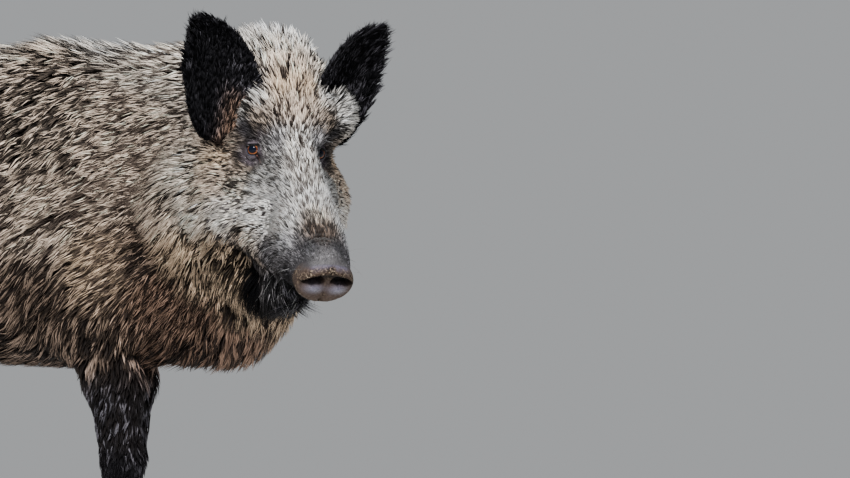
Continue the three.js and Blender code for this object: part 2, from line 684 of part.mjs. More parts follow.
const LEG_TRIANGLES = { fore: 390, hind: 470 };
for (const { rank, side, s, place } of feet) {
  const shape = solidOf(await simplified(polygonized(body, legBox[rank](s), P(9, 9, 11)), LEG_TRIANGLES[rank]));
  let leg = shape.intersect(legSpace[rank](s));
  for (const toe of sides) leg = leg.subtract(hoof(place, toe, 0.4)).subtract(dewclaw(place, toe, 0.4));
  add(`${rank}leg_${side}`, largest(leg), looks.darkCoat);
  for (const toe of sides) {
    const which = `${rank}_${side}_${toe === s ? 'outer' : 'inner'}`;
    add(`hoof_${which}`, hoof(place, toe), looks.horn);
    add(`dewclaw_${which}`, dewclaw(place, toe), looks.horn);
  }
}
for (const [name, s] of eyes) add(name, eyeball(s), looks.eye, headFrame);
sides.forEach((s) => add(s > 0 ? 'ear_left' : 'ear_right', ear(s), looks.darkCoat, headFrame));

// The frame's origin is the middle of the bounding box, on the ground.
const group = new THREE.Group();
group.add(boar);
group.updateMatrixWorld(true);
const bounds = new THREE.Box3().setFromObject(boar, true);
const centre = bounds.getCenter(P(0, 0, 0));
boar.position.set(-centre.x, -centre.y, -bounds.min.z);

export default group;
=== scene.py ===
"""A wild boar in its winter coat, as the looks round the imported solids.

One skin stands for every solid of flesh and lies inside them by the depth of the coat. Over it
lies the coat, as tufts of solid mesh that follow a map of places on the head and the body.
The eyes and the hooves are pieces of their own.

Places on the head are (forward, up, left) of the skull's origin, and places on the body are
(left, back, height) of the floor under the animal's middle, both in millimetres.
"""

import math
from collections import namedtuple

import bmesh
import bpy
import numpy as np
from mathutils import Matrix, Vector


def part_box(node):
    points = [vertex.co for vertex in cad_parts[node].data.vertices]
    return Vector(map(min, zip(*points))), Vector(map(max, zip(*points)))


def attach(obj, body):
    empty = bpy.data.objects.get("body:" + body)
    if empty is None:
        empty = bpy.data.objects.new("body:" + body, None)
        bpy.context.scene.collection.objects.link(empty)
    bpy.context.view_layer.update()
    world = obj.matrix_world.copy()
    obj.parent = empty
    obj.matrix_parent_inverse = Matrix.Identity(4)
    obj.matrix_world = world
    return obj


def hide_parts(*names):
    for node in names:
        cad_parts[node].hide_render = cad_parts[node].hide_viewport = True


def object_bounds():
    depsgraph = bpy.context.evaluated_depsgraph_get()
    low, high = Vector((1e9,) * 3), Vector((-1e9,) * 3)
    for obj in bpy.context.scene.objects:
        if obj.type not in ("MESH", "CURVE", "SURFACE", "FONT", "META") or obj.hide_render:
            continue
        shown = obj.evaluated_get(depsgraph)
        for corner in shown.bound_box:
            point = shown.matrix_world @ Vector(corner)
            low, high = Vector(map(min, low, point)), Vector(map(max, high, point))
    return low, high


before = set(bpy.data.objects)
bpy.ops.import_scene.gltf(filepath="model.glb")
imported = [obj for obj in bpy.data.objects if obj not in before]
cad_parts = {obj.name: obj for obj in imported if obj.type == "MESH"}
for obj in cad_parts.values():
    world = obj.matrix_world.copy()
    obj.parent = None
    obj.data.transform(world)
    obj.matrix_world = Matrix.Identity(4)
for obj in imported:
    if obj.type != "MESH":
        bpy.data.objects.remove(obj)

import openvdb as vdb
from mathutils import Matrix, Vector
from mathutils.bvhtree import BVHTree
from mathutils.kdtree import KDTree

MM = 0.001
CAD_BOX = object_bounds()
rng = np.random.default_rng(11)

# ---- where things are

HEAD_TURN = math.radians(59.7)  # to the animal's right
HEAD_PITCH = math.radians(50.0)
HEAD_ROLL = math.radians(4.0)
EYES_IN_SKULL = (-6.0, -5.0)  # forward and up, from the skull's origin
EYE_RADIUS = 12.2
LID_RADIUS = EYE_RADIUS + 1.5


def centre(node):
    low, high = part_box(node)
    return np.array((low + high) / 2)


def unit(vectors):
    vectors = np.asarray(vectors, float)
    return vectors / np.maximum(np.linalg.norm(vectors, axis=-1, keepdims=True), 1e-9)


EYES = (centre("eye_left") + centre("eye_right")) / 2
TURNED = np.array(
    Matrix.Rotation(-HEAD_TURN, 3, "Z")
    @ Matrix.Rotation(HEAD_PITCH, 3, "X")
    @ Matrix.Rotation(HEAD_ROLL, 3, "Y")
)
SKULL = np.array((-TURNED[:, 1], TURNED[:, 2], TURNED[:, 0]))  # rows: forward, up, left
SKULL_ORIGIN = EYES - np.array((*EYES_IN_SKULL, 0.0)) @ SKULL * MM
BODY_ORIGIN = EYES - np.array((-212.4, -474.0, 643.4)) * MM


def in_skull(points):
    return (points - SKULL_ORIGIN) @ SKULL.T / MM


def from_skull(places):
    return SKULL_ORIGIN + np.asarray(places, float) @ SKULL * MM


def in_body(points):
    return (points - BODY_ORIGIN) / MM


def from_body(places):
    return BODY_ORIGIN + np.asarray(places, float) * MM


def ramp(low, high, value):
    """0 below low, 1 above high, smooth between."""
    t = np.clip((value - low) / (high - low), 0, 1)
    return t * t * (3 - 2 * t)


def bump(distance, radius):
    """1 at no distance, falling smoothly to 0 at radius."""
    return 1 - ramp(0, radius, distance)


def bell(*offsets):
    """1 where all offsets are 0, falling as a bell curve with them."""
    return np.exp(-sum(offset**2 for offset in offsets))


def between(first, second, share):
    return first * (1 - share) + second * share


def laid_flat(ways, normals):
    """Ways turned into the plane that the normals stand on."""
    return unit(ways - normals * (ways * normals).sum(1, keepdims=True))


def tree_of(places):
    """A tree that finds the index of the place nearest to a point."""
    tree = KDTree(len(places))
    for index, place in enumerate(places):
        tree.insert(place, index)
    tree.balance()
    return tree


# ---- camera, light, floor

CAMERA_AZIMUTH = math.radians(-80.0)
CAMERA_DISTANCE = 12.0  # from the plane of the eyes
CAMERA_RIGHT = 0.1882  # of the eyes' middle
CAMERA_BELOW = 0.1189
VIEW_WIDTH = 1.1475  # of the plane of the eyes
SENSOR = 36.0


def aimed(name, data, place, way):
    """An object at a place that looks along a way, added to the scene."""
    made = bpy.data.objects.new(name, data)
    made.location = place
    made.rotation_mode = "QUATERNION"
    made.rotation_quaternion = Vector(way).to_track_quat("-Z", "Y")
    bpy.context.scene.collection.objects.link(made)
    return made


def add_camera():
    towards = np.array((math.sin(CAMERA_AZIMUTH), -math.cos(CAMERA_AZIMUTH), 0.0))
    right = np.array((-towards[1], towards[0], 0.0))
    data = bpy.data.cameras.new("camera")
    data.sensor_width = SENSOR
    data.lens = SENSOR * CAMERA_DISTANCE / VIEW_WIDTH
    data.clip_end = 100.0
    place = EYES + right * CAMERA_RIGHT + towards * CAMERA_DISTANCE - (0, 0, CAMERA_BELOW)
    bpy.context.scene.camera = aimed("camera", data, place, -towards)


def add_light(name, place, target, size, power, colour):
    data = bpy.data.lights.new(name, "AREA")
    data.shape = "DISK"
    data.size = size
    data.energy = power
    data.color = colour
    aimed(name, data, place, Vector(target) - Vector(place))


def add_studio():
    world = bpy.data.worlds.new("studio")
    world.use_nodes = True
    background = world.node_tree.nodes["Background"]
    background.inputs["Color"].default_value = (0.80, 0.82, 0.84, 1)
    background.inputs["Strength"].default_value = 0.48
    bpy.context.scene.world = world
    trunk = (0.0, 0.0, 0.6)
    add_light("key", (-3.9, -0.5, 3.2), EYES, 1.2, 510.0, (1.0, 0.985, 0.965))
    add_light("top", (0.4, -0.4, 4.2), trunk, 2.4, 190.0, (0.96, 0.98, 1.0))
    add_light("back", (2.6, 2.4, 2.8), trunk, 2.0, 70.0, (1.0, 0.98, 0.95))


def add_floor():
    bpy.ops.mesh.primitive_circle_add(vertices=96, radius=7.0, fill_type="NGON")
    floor = bpy.context.object
    floor.name = "floor"
    material, shader, _ = new_material("pale_floor", 0.9)
    shader.inputs["Base Color"].default_value = (0.62, 0.62, 0.61, 1)
    floor.data.materials.append(material)


# ---- materials


def new_material(name, roughness):
    material = bpy.data.materials.new(name)
    material.use_nodes = True
    nodes = material.node_tree
    shader = nodes.nodes["Principled BSDF"]
    shader.inputs["Roughness"].default_value = roughness
    return material, shader, nodes


def feed(nodes, node, inputs):
    """Gives each input of a node a plain value, or another node's output."""
    for key, value in inputs.items():
        if isinstance(value, bpy.types.NodeSocket):
            nodes.links.new(value, node.inputs[key])
        else:
            node.inputs[key].default_value = value


def add_node(nodes, kind, inputs, output=0, **settings):
    """Adds a shader node with its settings and inputs, and gives back one of its outputs."""
    node = nodes.nodes.new("ShaderNode" + kind)
    for key, value in settings.items():
        setattr(node, key, value)
    feed(nodes, node, inputs)
    return node.outputs[output]


def attribute(nodes, name, output="Fac"):
    return add_node(nodes, "Attribute", {}, output, attribute_name=name)


def calculated(nodes, operation, *values, clamp=False):
    return add_node(nodes, "Math", dict(enumerate(values)), operation=operation, use_clamp=clamp)


def noise(nodes, place, scale, detail, roughness=0.5, distortion=0.0):
    inputs = {"Vector": place, "Scale": scale, "Detail": detail}
    inputs |= {"Roughness": roughness, "Distortion": distortion}
    return add_node(nodes, "TexNoise", inputs)


def mapped(nodes, value, low, high, to_low, to_high):
    inputs = {0: value, "From Min": low, "From Max": high, "To Min": to_low, "To Max": to_high}
    return add_node(nodes, "MapRange", inputs)


def mixed(nodes, share, first, second, blend="MIX"):
    """A mix of two colours, whose sockets are the seventh and the eighth."""
    return add_node(nodes, "Mix", {0: share, 6: first, 7: second}, 2, data_type="RGBA", blend_type=blend)


def shaded(nodes, share, tint, shade):
    """A colour multiplied by a grey."""
    grey = add_node(nodes, "CombineColor", {channel: shade for channel in range(3)})
    return mixed(nodes, share, tint, grey, "MULTIPLY")


def graded(nodes, value, stops):
    """A colour ramp read at a value; each stop is a position and a colour."""
    node = nodes.nodes.new("ShaderNodeValToRGB")
    elements = node.color_ramp.elements
    for index, (position, colour) in ((0, stops[0]), (1, stops[-1])):
        elements[index].position = position
        elements[index].color = (*srgb(*colour), 1)
    for position, colour in stops[1:-1]:
        elements.new(position).color = (*srgb(*colour), 1)
    feed(nodes, node, {0: value})
    return node.outputs[0]


def raised(nodes, height, strength, distance):
    return add_node(nodes, "Bump", {"Height": height, "Strength": strength, "Distance": distance})


def coat_material():
    """Each tuft is shaded as a lock of several hairs, by fine lines along it."""
    material, shader, nodes = new_material("coat_hair", 0.6)
    strand = add_node(nodes, "UVMap", {}, uv_map="Strand")
    stretch = add_node(nodes, "Mapping", {"Vector": strand, "Scale": (5.0, 0.8, 1.0)})
    hairs = noise(nodes, stretch, 1.0, 2.0, 0.6)
    shade = mapped(nodes, hairs, 0.3, 0.7, 0.62, 1.25)
    colour = shaded(nodes, 1.0, attribute(nodes, "Coat", "Color"), shade)
    relief = raised(nodes, hairs, 0.5, 0.0006)
    feed(nodes, shader, {"Base Color": colour, "Normal": relief, "Specular IOR Level": 0.05})
    return material


def skin_material():
    """Under the coat a dull hide with short hair; bare, wet and muddy where the face is."""
    material, shader, nodes = new_material("skin_hide", 0.7)
    place = add_node(nodes, "TexCoord", {}, "Object")
    wet, mud = attribute(nodes, "Wet"), attribute(nodes, "Mud")
    short_hair = noise(nodes, place, 620.0, 3.0, 0.7)
    pores = noise(nodes, place, 300.0, 5.0, 0.65, 0.8)
    grit = noise(nodes, place, 360.0, 5.0, 0.75)
    coarse = noise(nodes, place, 110.0, 4.0)
    shade = mapped(nodes, short_hair, 0.3, 0.7, 0.55, 1.3)
    mottled = shaded(nodes, 0.8, attribute(nodes, "Marking_and_painted_light", "Color"), shade)
    dirt = graded(nodes, grit, ((0.5, (26, 19, 15)), (0.64, (150, 134, 116))))
    patches = calculated(nodes, "MULTIPLY", mud, mapped(nodes, coarse, 0.36, 0.58, 0.0, 1.0))
    sheen = calculated(nodes, "SUBTRACT", wet, patches, clamp=True)
    fine = add_node(
        nodes, "Mix", {0: attribute(nodes, "Bare"), 2: short_hair, 3: pores}, data_type="FLOAT"
    )
    lumps = calculated(nodes, "MULTIPLY_ADD", grit, calculated(nodes, "ADD", mud, wet), fine)
    looks = {
        "Base Color": mixed(nodes, patches, mottled, dirt),
        "Roughness": mapped(nodes, sheen, 0.0, 1.0, 0.6, 0.14),
        "Specular IOR Level": mapped(nodes, sheen, 0.0, 1.0, 0.06, 0.7),
        "Normal": raised(nodes, lumps, 0.8, 0.0026),
    }
    feed(nodes, shader, looks)
    return material


def horn_material():
    """Dark keratin with stains and growth rings."""
    material, shader, nodes = new_material("hoof_horn", 0.5)
    place = add_node(nodes, "TexCoord", {}, "Object")
    wave = {"Vector": place, "Scale": 95.0, "Distortion": 3.0, "Detail": 2.0}
    rings = add_node(nodes, "TexWave", wave, 1, bands_direction="Z")
    stains = noise(nodes, place, 70.0, 4.0)
    colour = graded(nodes, stains, ((0.3, (17, 14, 13)), (0.75, (52, 45, 39))))
    feed(nodes, shader, {"Base Color": colour, "Normal": raised(nodes, rings, 0.35, 0.0008)})
    return material


PUPIL = (5.6, 4.7)  # half width and half height, millimetres
IRIS = 8.4


def eye_material():
    """Pupil, iris and dark white by the distance from the axis of sight, which is the ball's own Z; the
    pupil is black with a painted blue reflection.
    """
    material, shader, nodes = new_material("eye_ball", 0.08)
    place = add_node(nodes, "TexCoord", {}, "Object")
    scale = (1 / (IRIS * MM), PUPIL[0] / PUPIL[1] / (IRIS * MM), 0.0)
    flat = add_node(nodes, "Mapping", {"Vector": place, "Scale": scale})
    reach = add_node(nodes, "VectorMath", {0: flat}, "Value", operation="LENGTH")
    wobble = calculated(nodes, "MULTIPLY_ADD", noise(nodes, place, 900.0, 3.0), 0.12, -0.06)
    pupil = PUPIL[0] / IRIS
    stops = (
        # the pupil: black with a painted blue reflection
        (0.0, (4, 9, 22)),
        (pupil - 0.06, (7, 12, 24)),
        (pupil + 0.04, (44, 20, 10)),
        (pupil + 0.12, (104, 56, 32)),
        (0.86, (140, 88, 54)),
        (0.94, (84, 44, 26)),
        (1.0, (40, 32, 32)),
    )
    looks = {
        "Base Color": graded(nodes, calculated(nodes, "ADD", reach, wobble), stops),
        "Specular IOR Level": 0.04,
        "Coat Weight": 0.14,
        "Coat IOR": 1.38,
        "Coat Roughness": 0.02,
    }
    feed(nodes, shader, looks)
    return material


# ---- colours


def srgb(*channels):
    """The linear colour of three channels of 0 to 255."""
    values = np.array(channels) / 255
    return np.where(values <= 0.04045, values / 12.92, ((values + 0.055) / 1.055) ** 2.4)


WHITE = srgb(255, 252, 248)
CREAM = srgb(248, 242, 234)
IVORY = srgb(250, 236, 220)
TAN = srgb(238, 216, 196)
GOLD = srgb(228, 200, 170)
SILVER = srgb(232, 230, 234)
ASH = srgb(176, 172, 177)
SLATE = srgb(98, 96, 104)
BROWN = srgb(156, 134, 118)
RUSSET = srgb(158, 128, 110)
UMBER = srgb(72, 61, 55)
BARK = srgb(50, 42, 39)
DUSK = srgb(78, 73, 76)
SOOT = srgb(20, 17, 17)
INK = srgb(2, 2, 4)
LILAC = srgb(84, 79, 91)
DISC_LILAC = srgb(84, 80, 98)
DISC_BROWN = srgb(66, 54, 47)
PLUM = srgb(78, 68, 76)

# ---- the map of the coat

# in each row: where it is; the way the hair lies; how deep the coat is; how long and wide a tuft is; how
# many times the tufts cover the skin; the colour of pale tips; the colour below; the share of pale tufts
HEAD_PLACES = (
    # the snout and its bare ridge
    ((228, 0, 0), (-1, 0, 0), 0.3, 4, 0.8, 0.0, LILAC, PLUM, 0.0),
    ((224, 0, 38), (-1, 0, 0), 0.3, 4, 0.8, 1.5, SLATE, SOOT, 0.2),
    ((206, 32, 8), (-1, 0, 0), 0.5, 5, 0.9, 0.9, ASH, SOOT, 0.4),
    ((194, 29, 18), (-1, 0, 0.2), 0.6, 8, 1.0, 3.0, SLATE, INK, 0.15),
    ((203, 10, 43), (-0.9, -0.3, 0.2), 0.9, 8, 1.2, 4.0, ASH, INK, 0.3),
    ((205, -20, 42), (-0.7, -0.7, 0.1), 0.9, 9, 1.2, 4.0, SLATE, INK, 0.3),
    ((205, -38, 22), (-0.5, -0.8, 0), 1.0, 9, 1.0, 3.0, SLATE, INK, 0.2),
    # the bridge
    ((180, 33, 0), (-1, 0, 0.05), 1.8, 12, 1.4, 4.5, BROWN, INK, 0.12),
    ((166, 34, 12), (-1, 0.02, 0), 2.4, 14, 1.6, 4.6, BROWN, INK, 0.22),
    ((147, 34, 0), (-1, 0.02, 0), 2.8, 14, 1.9, 4.4, IVORY, SOOT, 0.46),
    ((115, 35, 4), (-1, 0.02, 0.05), 3.2, 14, 2.2, 4.4, WHITE, BARK, 0.54),
    ((75, 38, 5), (-1, 0, 0.06), 3.8, 15, 2.2, 4.4, CREAM, BARK, 0.55),
    ((30, 43, 5), (-0.98, 0.2, 0.08), 4.4, 16, 2.2, 4.4, CREAM, BARK, 0.58),
    # the muzzle's side
    ((147, 20, 38), (-0.95, -0.15, 0.2), 2.6, 12, 1.6, 4.6, WHITE, SOOT, 0.72),
    ((85, 22, 38), (-0.9, -0.35, 0.27), 3.6, 14, 2.0, 4.4, WHITE, SOOT, 0.64),
    ((92, 1, 45), (-0.75, -0.55, 0.3), 3.8, 15, 2.0, 4.6, WHITE, DUSK, 1.08),
    ((128, 2, 49), (-0.7, -0.65, 0.25), 3.4, 13, 1.8, 4.8, WHITE, UMBER, 0.95),
    ((172, 8, 44), (-0.8, -0.5, 0.4), 2.2, 11, 1.5, 4.6, SILVER, SOOT, 0.7),
    ((188, -20, 47), (-0.5, -0.8, 0.2), 1.8, 11, 1.4, 4.5, ASH, SOOT, 0.4),
    ((91, -29, 59), (-0.55, -0.8, 0.4), 6.0, 18, 1.9, 4.8, WHITE, BARK, 1.0),
    ((115, -24, 55), (-0.55, -0.8, 0.25), 5.5, 17, 1.8, 4.8, WHITE, SOOT, 0.85),
    # the dark corner of the mouth and the pale tuft behind it
    ((148, -31, 55), (-0.1, -1, 0.1), 3.0, 14, 1.6, 4.8, ASH, INK, 0.35),
    ((140, -58, 52), (0.05, -1, 0), 4.0, 16, 1.4, 5.0, SLATE, SOOT, 0.3),
    ((118, -49, 62), (-0.15, -1, -0.1), 5.0, 19, 1.8, 4.6, IVORY, BARK, 0.72),
    ((131, -66, 58), (-0.1, -1, 0), 5.0, 20, 1.9, 4.5, TAN, SOOT, 0.6),
    ((96, -62, 66), (-0.2, -1, 0), 6.0, 22, 2.0, 4.5, TAN, INK, 0.5),
    # round the eye
    ((37, 14, 36), (-0.8, -0.2, 0.5), 2.4, 11, 1.6, 4.6, WHITE, SOOT, 0.5),
    ((16, 31, 32), (-0.85, 0.2, 0.4), 3.0, 12, 1.7, 4.6, SILVER, SOOT, 0.46),
    ((56, 0, 50), (-0.6, -0.5, 0.6), 3.2, 12, 1.7, 4.6, WHITE, SOOT, 0.6),
    # nearly black above the eye: a painted shadow of the brow
    ((-8, 30, 46), (-0.85, 0.2, 0.5), 3.4, 14, 1.7, 4.8, SOOT, INK, 0.1),
    ((-9, 42, 50), (-0.85, 0.2, 0.5), 5.0, 18, 1.9, 4.8, TAN, SOOT, 0.62),
    ((-24, 12, 58), (-0.7, -0.2, 0.7), 3.0, 13, 1.7, 4.8, SLATE, SOOT, 0.46),
    ((-26, -14, 68), (-0.5, -0.5, 0.8), 3.0, 14, 1.8, 4.8, TAN, SOOT, 0.5),
    ((-6, -8, 61), (-0.6, -0.3, 0.7), 2.5, 10, 1.6, 4.6, SLATE, INK, 0.2),
    ((22, -28, 62), (-0.4, -0.75, 0.4), 3.4, 15, 1.8, 4.8, TAN, SOOT, 0.6),
    ((43, -23, 66), (-0.5, -0.75, 0.35), 4.4, 16, 1.9, 4.8, IVORY, SOOT, 0.66),
    # forehead and crown
    ((-23, 59, 8), (-0.93, 0.37, 0.1), 5, 18, 2.4, 4.6, TAN, BARK, 0.7),
    ((-50, 68, 20), (-0.95, 0.2, 0.2), 7, 22, 2.5, 4.6, GOLD, BARK, 0.7),
    ((-90, 78, 8), (-1, 0.1, 0.05), 9, 26, 2.7, 4.6, TAN, SOOT, 0.68),
    ((-125, 76, 14), (-0.97, -0.1, 0.1), 14, 30, 2.8, 4.6, IVORY, SOOT, 0.75),
    ((-158, 66, 0), (-0.93, -0.3, 0.05), 19, 36, 2.9, 4.6, WHITE, BARK, 0.85),
    ((-150, 52, 46), (-0.85, -0.35, 0.35), 18, 36, 2.9, 4.6, CREAM, SOOT, 0.8),
    ((-100, 58, 56), (-0.85, 0, 0.5), 10, 28, 2.7, 4.6, IVORY, SOOT, 0.7),
    # temple and before the ear
    ((-54, 55, 48), (-0.8, -0.1, 0.55), 9, 27, 2.7, 4.6, WHITE, SOOT, 0.84),
    ((-44, 34, 70), (-0.7, -0.35, 0.55), 12, 30, 2.7, 4.6, WHITE, SOOT, 0.9),
    ((-50, 8, 78), (-0.5, -0.55, 0.66), 11, 26, 2.6, 4.6, CREAM, SOOT, 0.74),
    ((-62, -22, 84), (-0.56, -0.75, 0.3), 8, 22, 2.4, 4.6, TAN, SOOT, 0.6),
    ((-20, -32, 80), (-0.3, -0.6, 0.75), 7, 20, 2.4, 4.8, GOLD, SOOT, 0.68),
    # cheek and ruff
    ((10, -52, 82), (-0.16, -0.62, 0.77), 8, 24, 2.6, 4.8, TAN, SOOT, 0.8),
    ((62, -60, 70), (-0.35, -0.85, 0.3), 8, 24, 2.6, 4.8, CREAM, DUSK, 1.0),
    ((-25, -82, 116), (-0.1, -0.84, 0.53), 15, 36, 2.9, 4.8, IVORY, SOOT, 0.78),
    ((30, -100, 104), (-0.2, -0.93, 0.2), 14, 36, 2.9, 4.8, IVORY, SOOT, 0.88),
    ((-10, -138, 132), (0.08, -0.95, 0.3), 18, 44, 3.1, 4.8, TAN, SOOT, 0.82),
    ((22, -170, 100), (0.02, -1, 0.08), 18, 44, 3.1, 4.8, GOLD, SOOT, 0.9),
    ((64, -120, 76), (-0.1, -1, 0), 12, 33, 2.6, 4.8, GOLD, SOOT, 0.55),
    ((50, -205, 66), (0.25, -0.95, -0.15), 18, 46, 2.8, 4.8, GOLD, SOOT, 0.6),
    # chin, black, with its beard
    ((108, -86, 54), (0.15, -1, 0), 7, 28, 1.9, 5.0, SLATE, INK, 0.14),
    ((150, -84, 30), (0.4, -0.9, 0), 6, 34, 1.9, 5.0, ASH, INK, 0.2),
    ((186, -62, 12), (0.6, -0.8, 0), 5, 22, 1.6, 5.0, SLATE, INK, 0.14),
    ((185, -96, 6), (0.85, -0.5, 0), 20, 52, 2.1, 5.0, SLATE, INK, 0.06),
    ((120, -130, 28), (0.5, -0.85, 0), 14, 48, 2.1, 5.0, SOOT, INK, 0.05),
    ((84, -150, 44), (0.4, -0.9, 0), 14, 40, 2.1, 5.0, GOLD, INK, 0.3),
    ((70, -200, 10), (0.4, -0.9, 0), 18, 44, 2.3, 4.4, GOLD, SOOT, 0.45),
)

NECK_PLACES = (  # on one side only, because the neck is bent
    ((-160, -415, 805), (0.75, 0.6, 0), 20, 36, 2.6, 4.4, CREAM, SOOT, 0.82),
    ((-90, -345, 808), (0.5, 0.85, -0.1), 22, 40, 2.6, 4.4, CREAM, SOOT, 0.62),
    ((-40, -430, 790), (0.7, 0.7, 0), 22, 44, 2.8, 4.0, IVORY, SOOT, 0.62),
    ((-74, -286, 770), (0.25, 0.85, -0.45), 16, 33, 2.7, 4.2, IVORY, BARK, 0.52),
    ((-120, -240, 687), (-0.1, 0.85, -0.5), 14, 30, 2.6, 4.2, TAN, BARK, 0.48),
    ((-152, -247, 591), (0.1, 0.92, -0.4), 13, 30, 2.5, 4.2, TAN, UMBER, 0.48),
    ((-155, -219, 496), (-0.1, 0.88, -0.47), 13, 32, 2.6, 4.2, GOLD, UMBER, 0.55),
    # darker rows: painted shadow under the ruff where it overhangs the chest
    ((-124, -342, 430), (0.3, 0.4, -0.85), 18, 36, 2.5, 4.2, RUSSET, SOOT, 0.45),
    ((-126, -283, 452), (0.2, 0.7, -0.6), 18, 36, 2.5, 4.2, RUSSET, SOOT, 0.45),
    ((-154, -262, 512), (0.1, 0.9, -0.4), 16, 34, 2.5, 4.2, BROWN, SOOT, 0.4),
    ((-110, -392, 400), (0.4, 0.3, -0.85), 16, 42, 2.6, 4.2, RUSSET, BARK, 0.6),
    ((-50, -330, 395), (0.2, 0.5, -0.8), 18, 46, 2.4, 4.0, RUSSET, SOOT, 0.5),
    ((-50, -515, 600), (0.9, 0.45, -0.2), 24, 46, 2.8, 3.6, TAN, BARK, 0.5),
    ((90, -390, 620), (0.65, 0.75, -0.15), 26, 50, 3.0, 3.4, TAN, BARK, 0.5),
    ((60, -400, 480), (0.5, 0.7, -0.45), 22, 48, 3.0, 3.4, BROWN, BARK, 0.5),
    ((60, -330, 740), (0.4, 0.9, -0.05), 28, 54, 3.0, 3.4, TAN, SOOT, 0.55),
)

BODY_PLACES = (
    ((0, -190, 800), (0, 0.95, -0.3), 24, 46, 3.0, 4.0, CREAM, SOOT, 0.5),
    ((0, -20, 790), (0, 1, 0), 30, 62, 3.0, 3.6, IVORY, SOOT, 0.52),
    ((0, 200, 750), (0, 1, -0.05), 27, 58, 3.4, 3.2, TAN, SOOT, 0.5),
    ((0, 420, 715), (0, 0.95, -0.2), 24, 54, 3.4, 3.2, TAN, SOOT, 0.5),
    ((80, -130, 770), (0.05, 0.62, -0.78), 18, 36, 2.9, 4.0, TAN, SOOT, 0.4),
    ((130, -145, 687), (0.1, 0.68, -0.72), 15, 34, 2.8, 4.0, TAN, SOOT, 0.48),
    ((158, -137, 550), (0, 0.8, -0.6), 14, 34, 2.7, 4.0, TAN, BARK, 0.52),
    ((150, -120, 460), (0, 0.6, -0.8), 16, 40, 2.8, 3.6, BROWN, SOOT, 0.5),
    ((140, 60, 690), (0.05, 0.94, -0.3), 26, 54, 3.2, 3.4, TAN, BARK, 0.5),
    ((165, 60, 570), (0, 0.9, -0.42), 24, 52, 3.3, 3.3, GOLD, BARK, 0.5),
    ((150, 60, 460), (0, 0.9, -0.4), 20, 50, 3.5, 3.2, BROWN, SOOT, 0.45),
    ((130, 280, 660), (0, 0.94, -0.3), 24, 54, 3.4, 3.2, TAN, BARK, 0.5),
    ((145, 280, 560), (0, 0.88, -0.46), 22, 52, 3.4, 3.2, GOLD, BARK, 0.5),
    ((120, 280, 460), (0, 0.9, -0.35), 18, 48, 3.5, 3.2, BROWN, SOOT, 0.45),
    ((60, 0, 405), (0, 0.98, -0.1), 16, 44, 3.6, 2.8, BROWN, SOOT, 0.4),
    ((50, 250, 420), (0, 0.98, -0.1), 14, 42, 3.6, 2.8, BROWN, SOOT, 0.4),
    ((30, -260, 385), (0.05, 0.8, -0.5), 17, 46, 2.9, 3.6, RUSSET, SOOT, 0.45),
    ((120, 470, 640), (0.02, 0.7, -0.65), 22, 50, 3.4, 3.2, TAN, BARK, 0.5),
    ((90, 560, 590), (0.05, 0.3, -0.95), 18, 46, 3.3, 3.2, BROWN, SOOT, 0.45),
    ((120, 440, 500), (0, 0.45, -0.9), 15, 40, 3.2, 3.0, BROWN, SOOT, 0.45),
    ((100, 450, 400), (0, 0.4, -0.9), 9, 30, 2.8, 2.8, BROWN, SOOT, 0.35),
    ((84, 480, 300), (0, 0.3, -0.95), 5, 22, 2.4, 2.8, SLATE, SOOT, 0.3),
    ((80, 470, 180), (0, 0.15, -1), 3, 14, 1.9, 2.8, SLATE, INK, 0.2),
    ((78, 450, 80), (0, 0.1, -1), 2, 11, 1.7, 2.8, SLATE, INK, 0.15),
    ((90, -180, 400), (0, 0.3, -0.95), 10, 32, 2.8, 2.8, BROWN, SOOT, 0.35),
    ((84, -200, 300), (0, 0.2, -1), 5, 22, 2.4, 2.8, SLATE, SOOT, 0.3),
    ((84, -215, 180), (0, 0.1, -1), 3, 14, 1.9, 2.8, SLATE, INK, 0.2),
    ((84, -225, 80), (0, 0.1, -1), 2, 11, 1.7, 2.8, SLATE, INK, 0.15),
)


def on_both_sides(rows, across):
    """The rows and their mirror images; across is the index of the coordinate that changes sign."""
    flip = np.ones(3)
    flip[across] = -1
    return [*rows, *((where * flip, lie * flip, *rest) for where, lie, *rest in rows if where[across])]


def placed(rows, position, turn):
    """Rows as arrays: where they are and the way of the hair in the part's frame, and the other values."""
    where, lie, *plain, tip, ground, pale = zip(*rows)
    places = np.array([position(place) for place in where])
    ways = unit([np.array(way, float) @ turn for way in lie])
    return places, ways, np.column_stack((*plain, pale, tip, ground))


COAT_MAP = [
    np.concatenate(parts)
    for parts in zip(
        placed(on_both_sides(HEAD_PLACES, 2), from_skull, SKULL),
        placed(NECK_PLACES, from_body, np.eye(3)),
        placed(on_both_sides(BODY_PLACES, 0), from_body, np.eye(3)),
    )
]
DEPTH, LENGTH, WIDTH, COVER, PALE = range(5)  # columns of the map's other values
TIP, GROUND = slice(5, 8), slice(8, 11)
SOFTEN = 0.012  # how far apart two places have to be to differ sharply
SHARPNESS = 2.6  # how fast a place's weight falls with distance
AT_ONCE = 20000  # points worked on together, to save memory


def read_map(points):
    """The lie and the other values of the coat at each point, blended from the nearest places."""
    where, lie, rest = COAT_MAP
    lies, values = [], []
    for start in range(0, len(points), AT_ONCE):
        part = points[start : start + AT_ONCE]
        squared = ((part[:, None, :] - where[None]) ** 2).sum(2)
        weight = (squared + SOFTEN**2) ** -SHARPNESS
        weight /= weight.sum(1, keepdims=True)
        lies.append(weight @ lie)
        values.append(weight @ rest)
    return np.concatenate(lies), np.concatenate(values)


# ---- the skin's field

VOXEL = 0.0032
BAND = 13  # voxels, deeper than the coat
BULK = [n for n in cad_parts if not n.startswith(("eye", "hoof", "dewclaw", "ear", "tail"))]
THIN = ["ear_left", "ear_right", "tail"]
THIN_DEPTH = 1.0 * MM  # of the skin inside the ears and the tail
CLOSE_CUTS = 1.0 * MM  # the surface goes out and back in by this, which closes the gaps between solids
COARSE = 4  # voxels between the places where a slow function is worked out


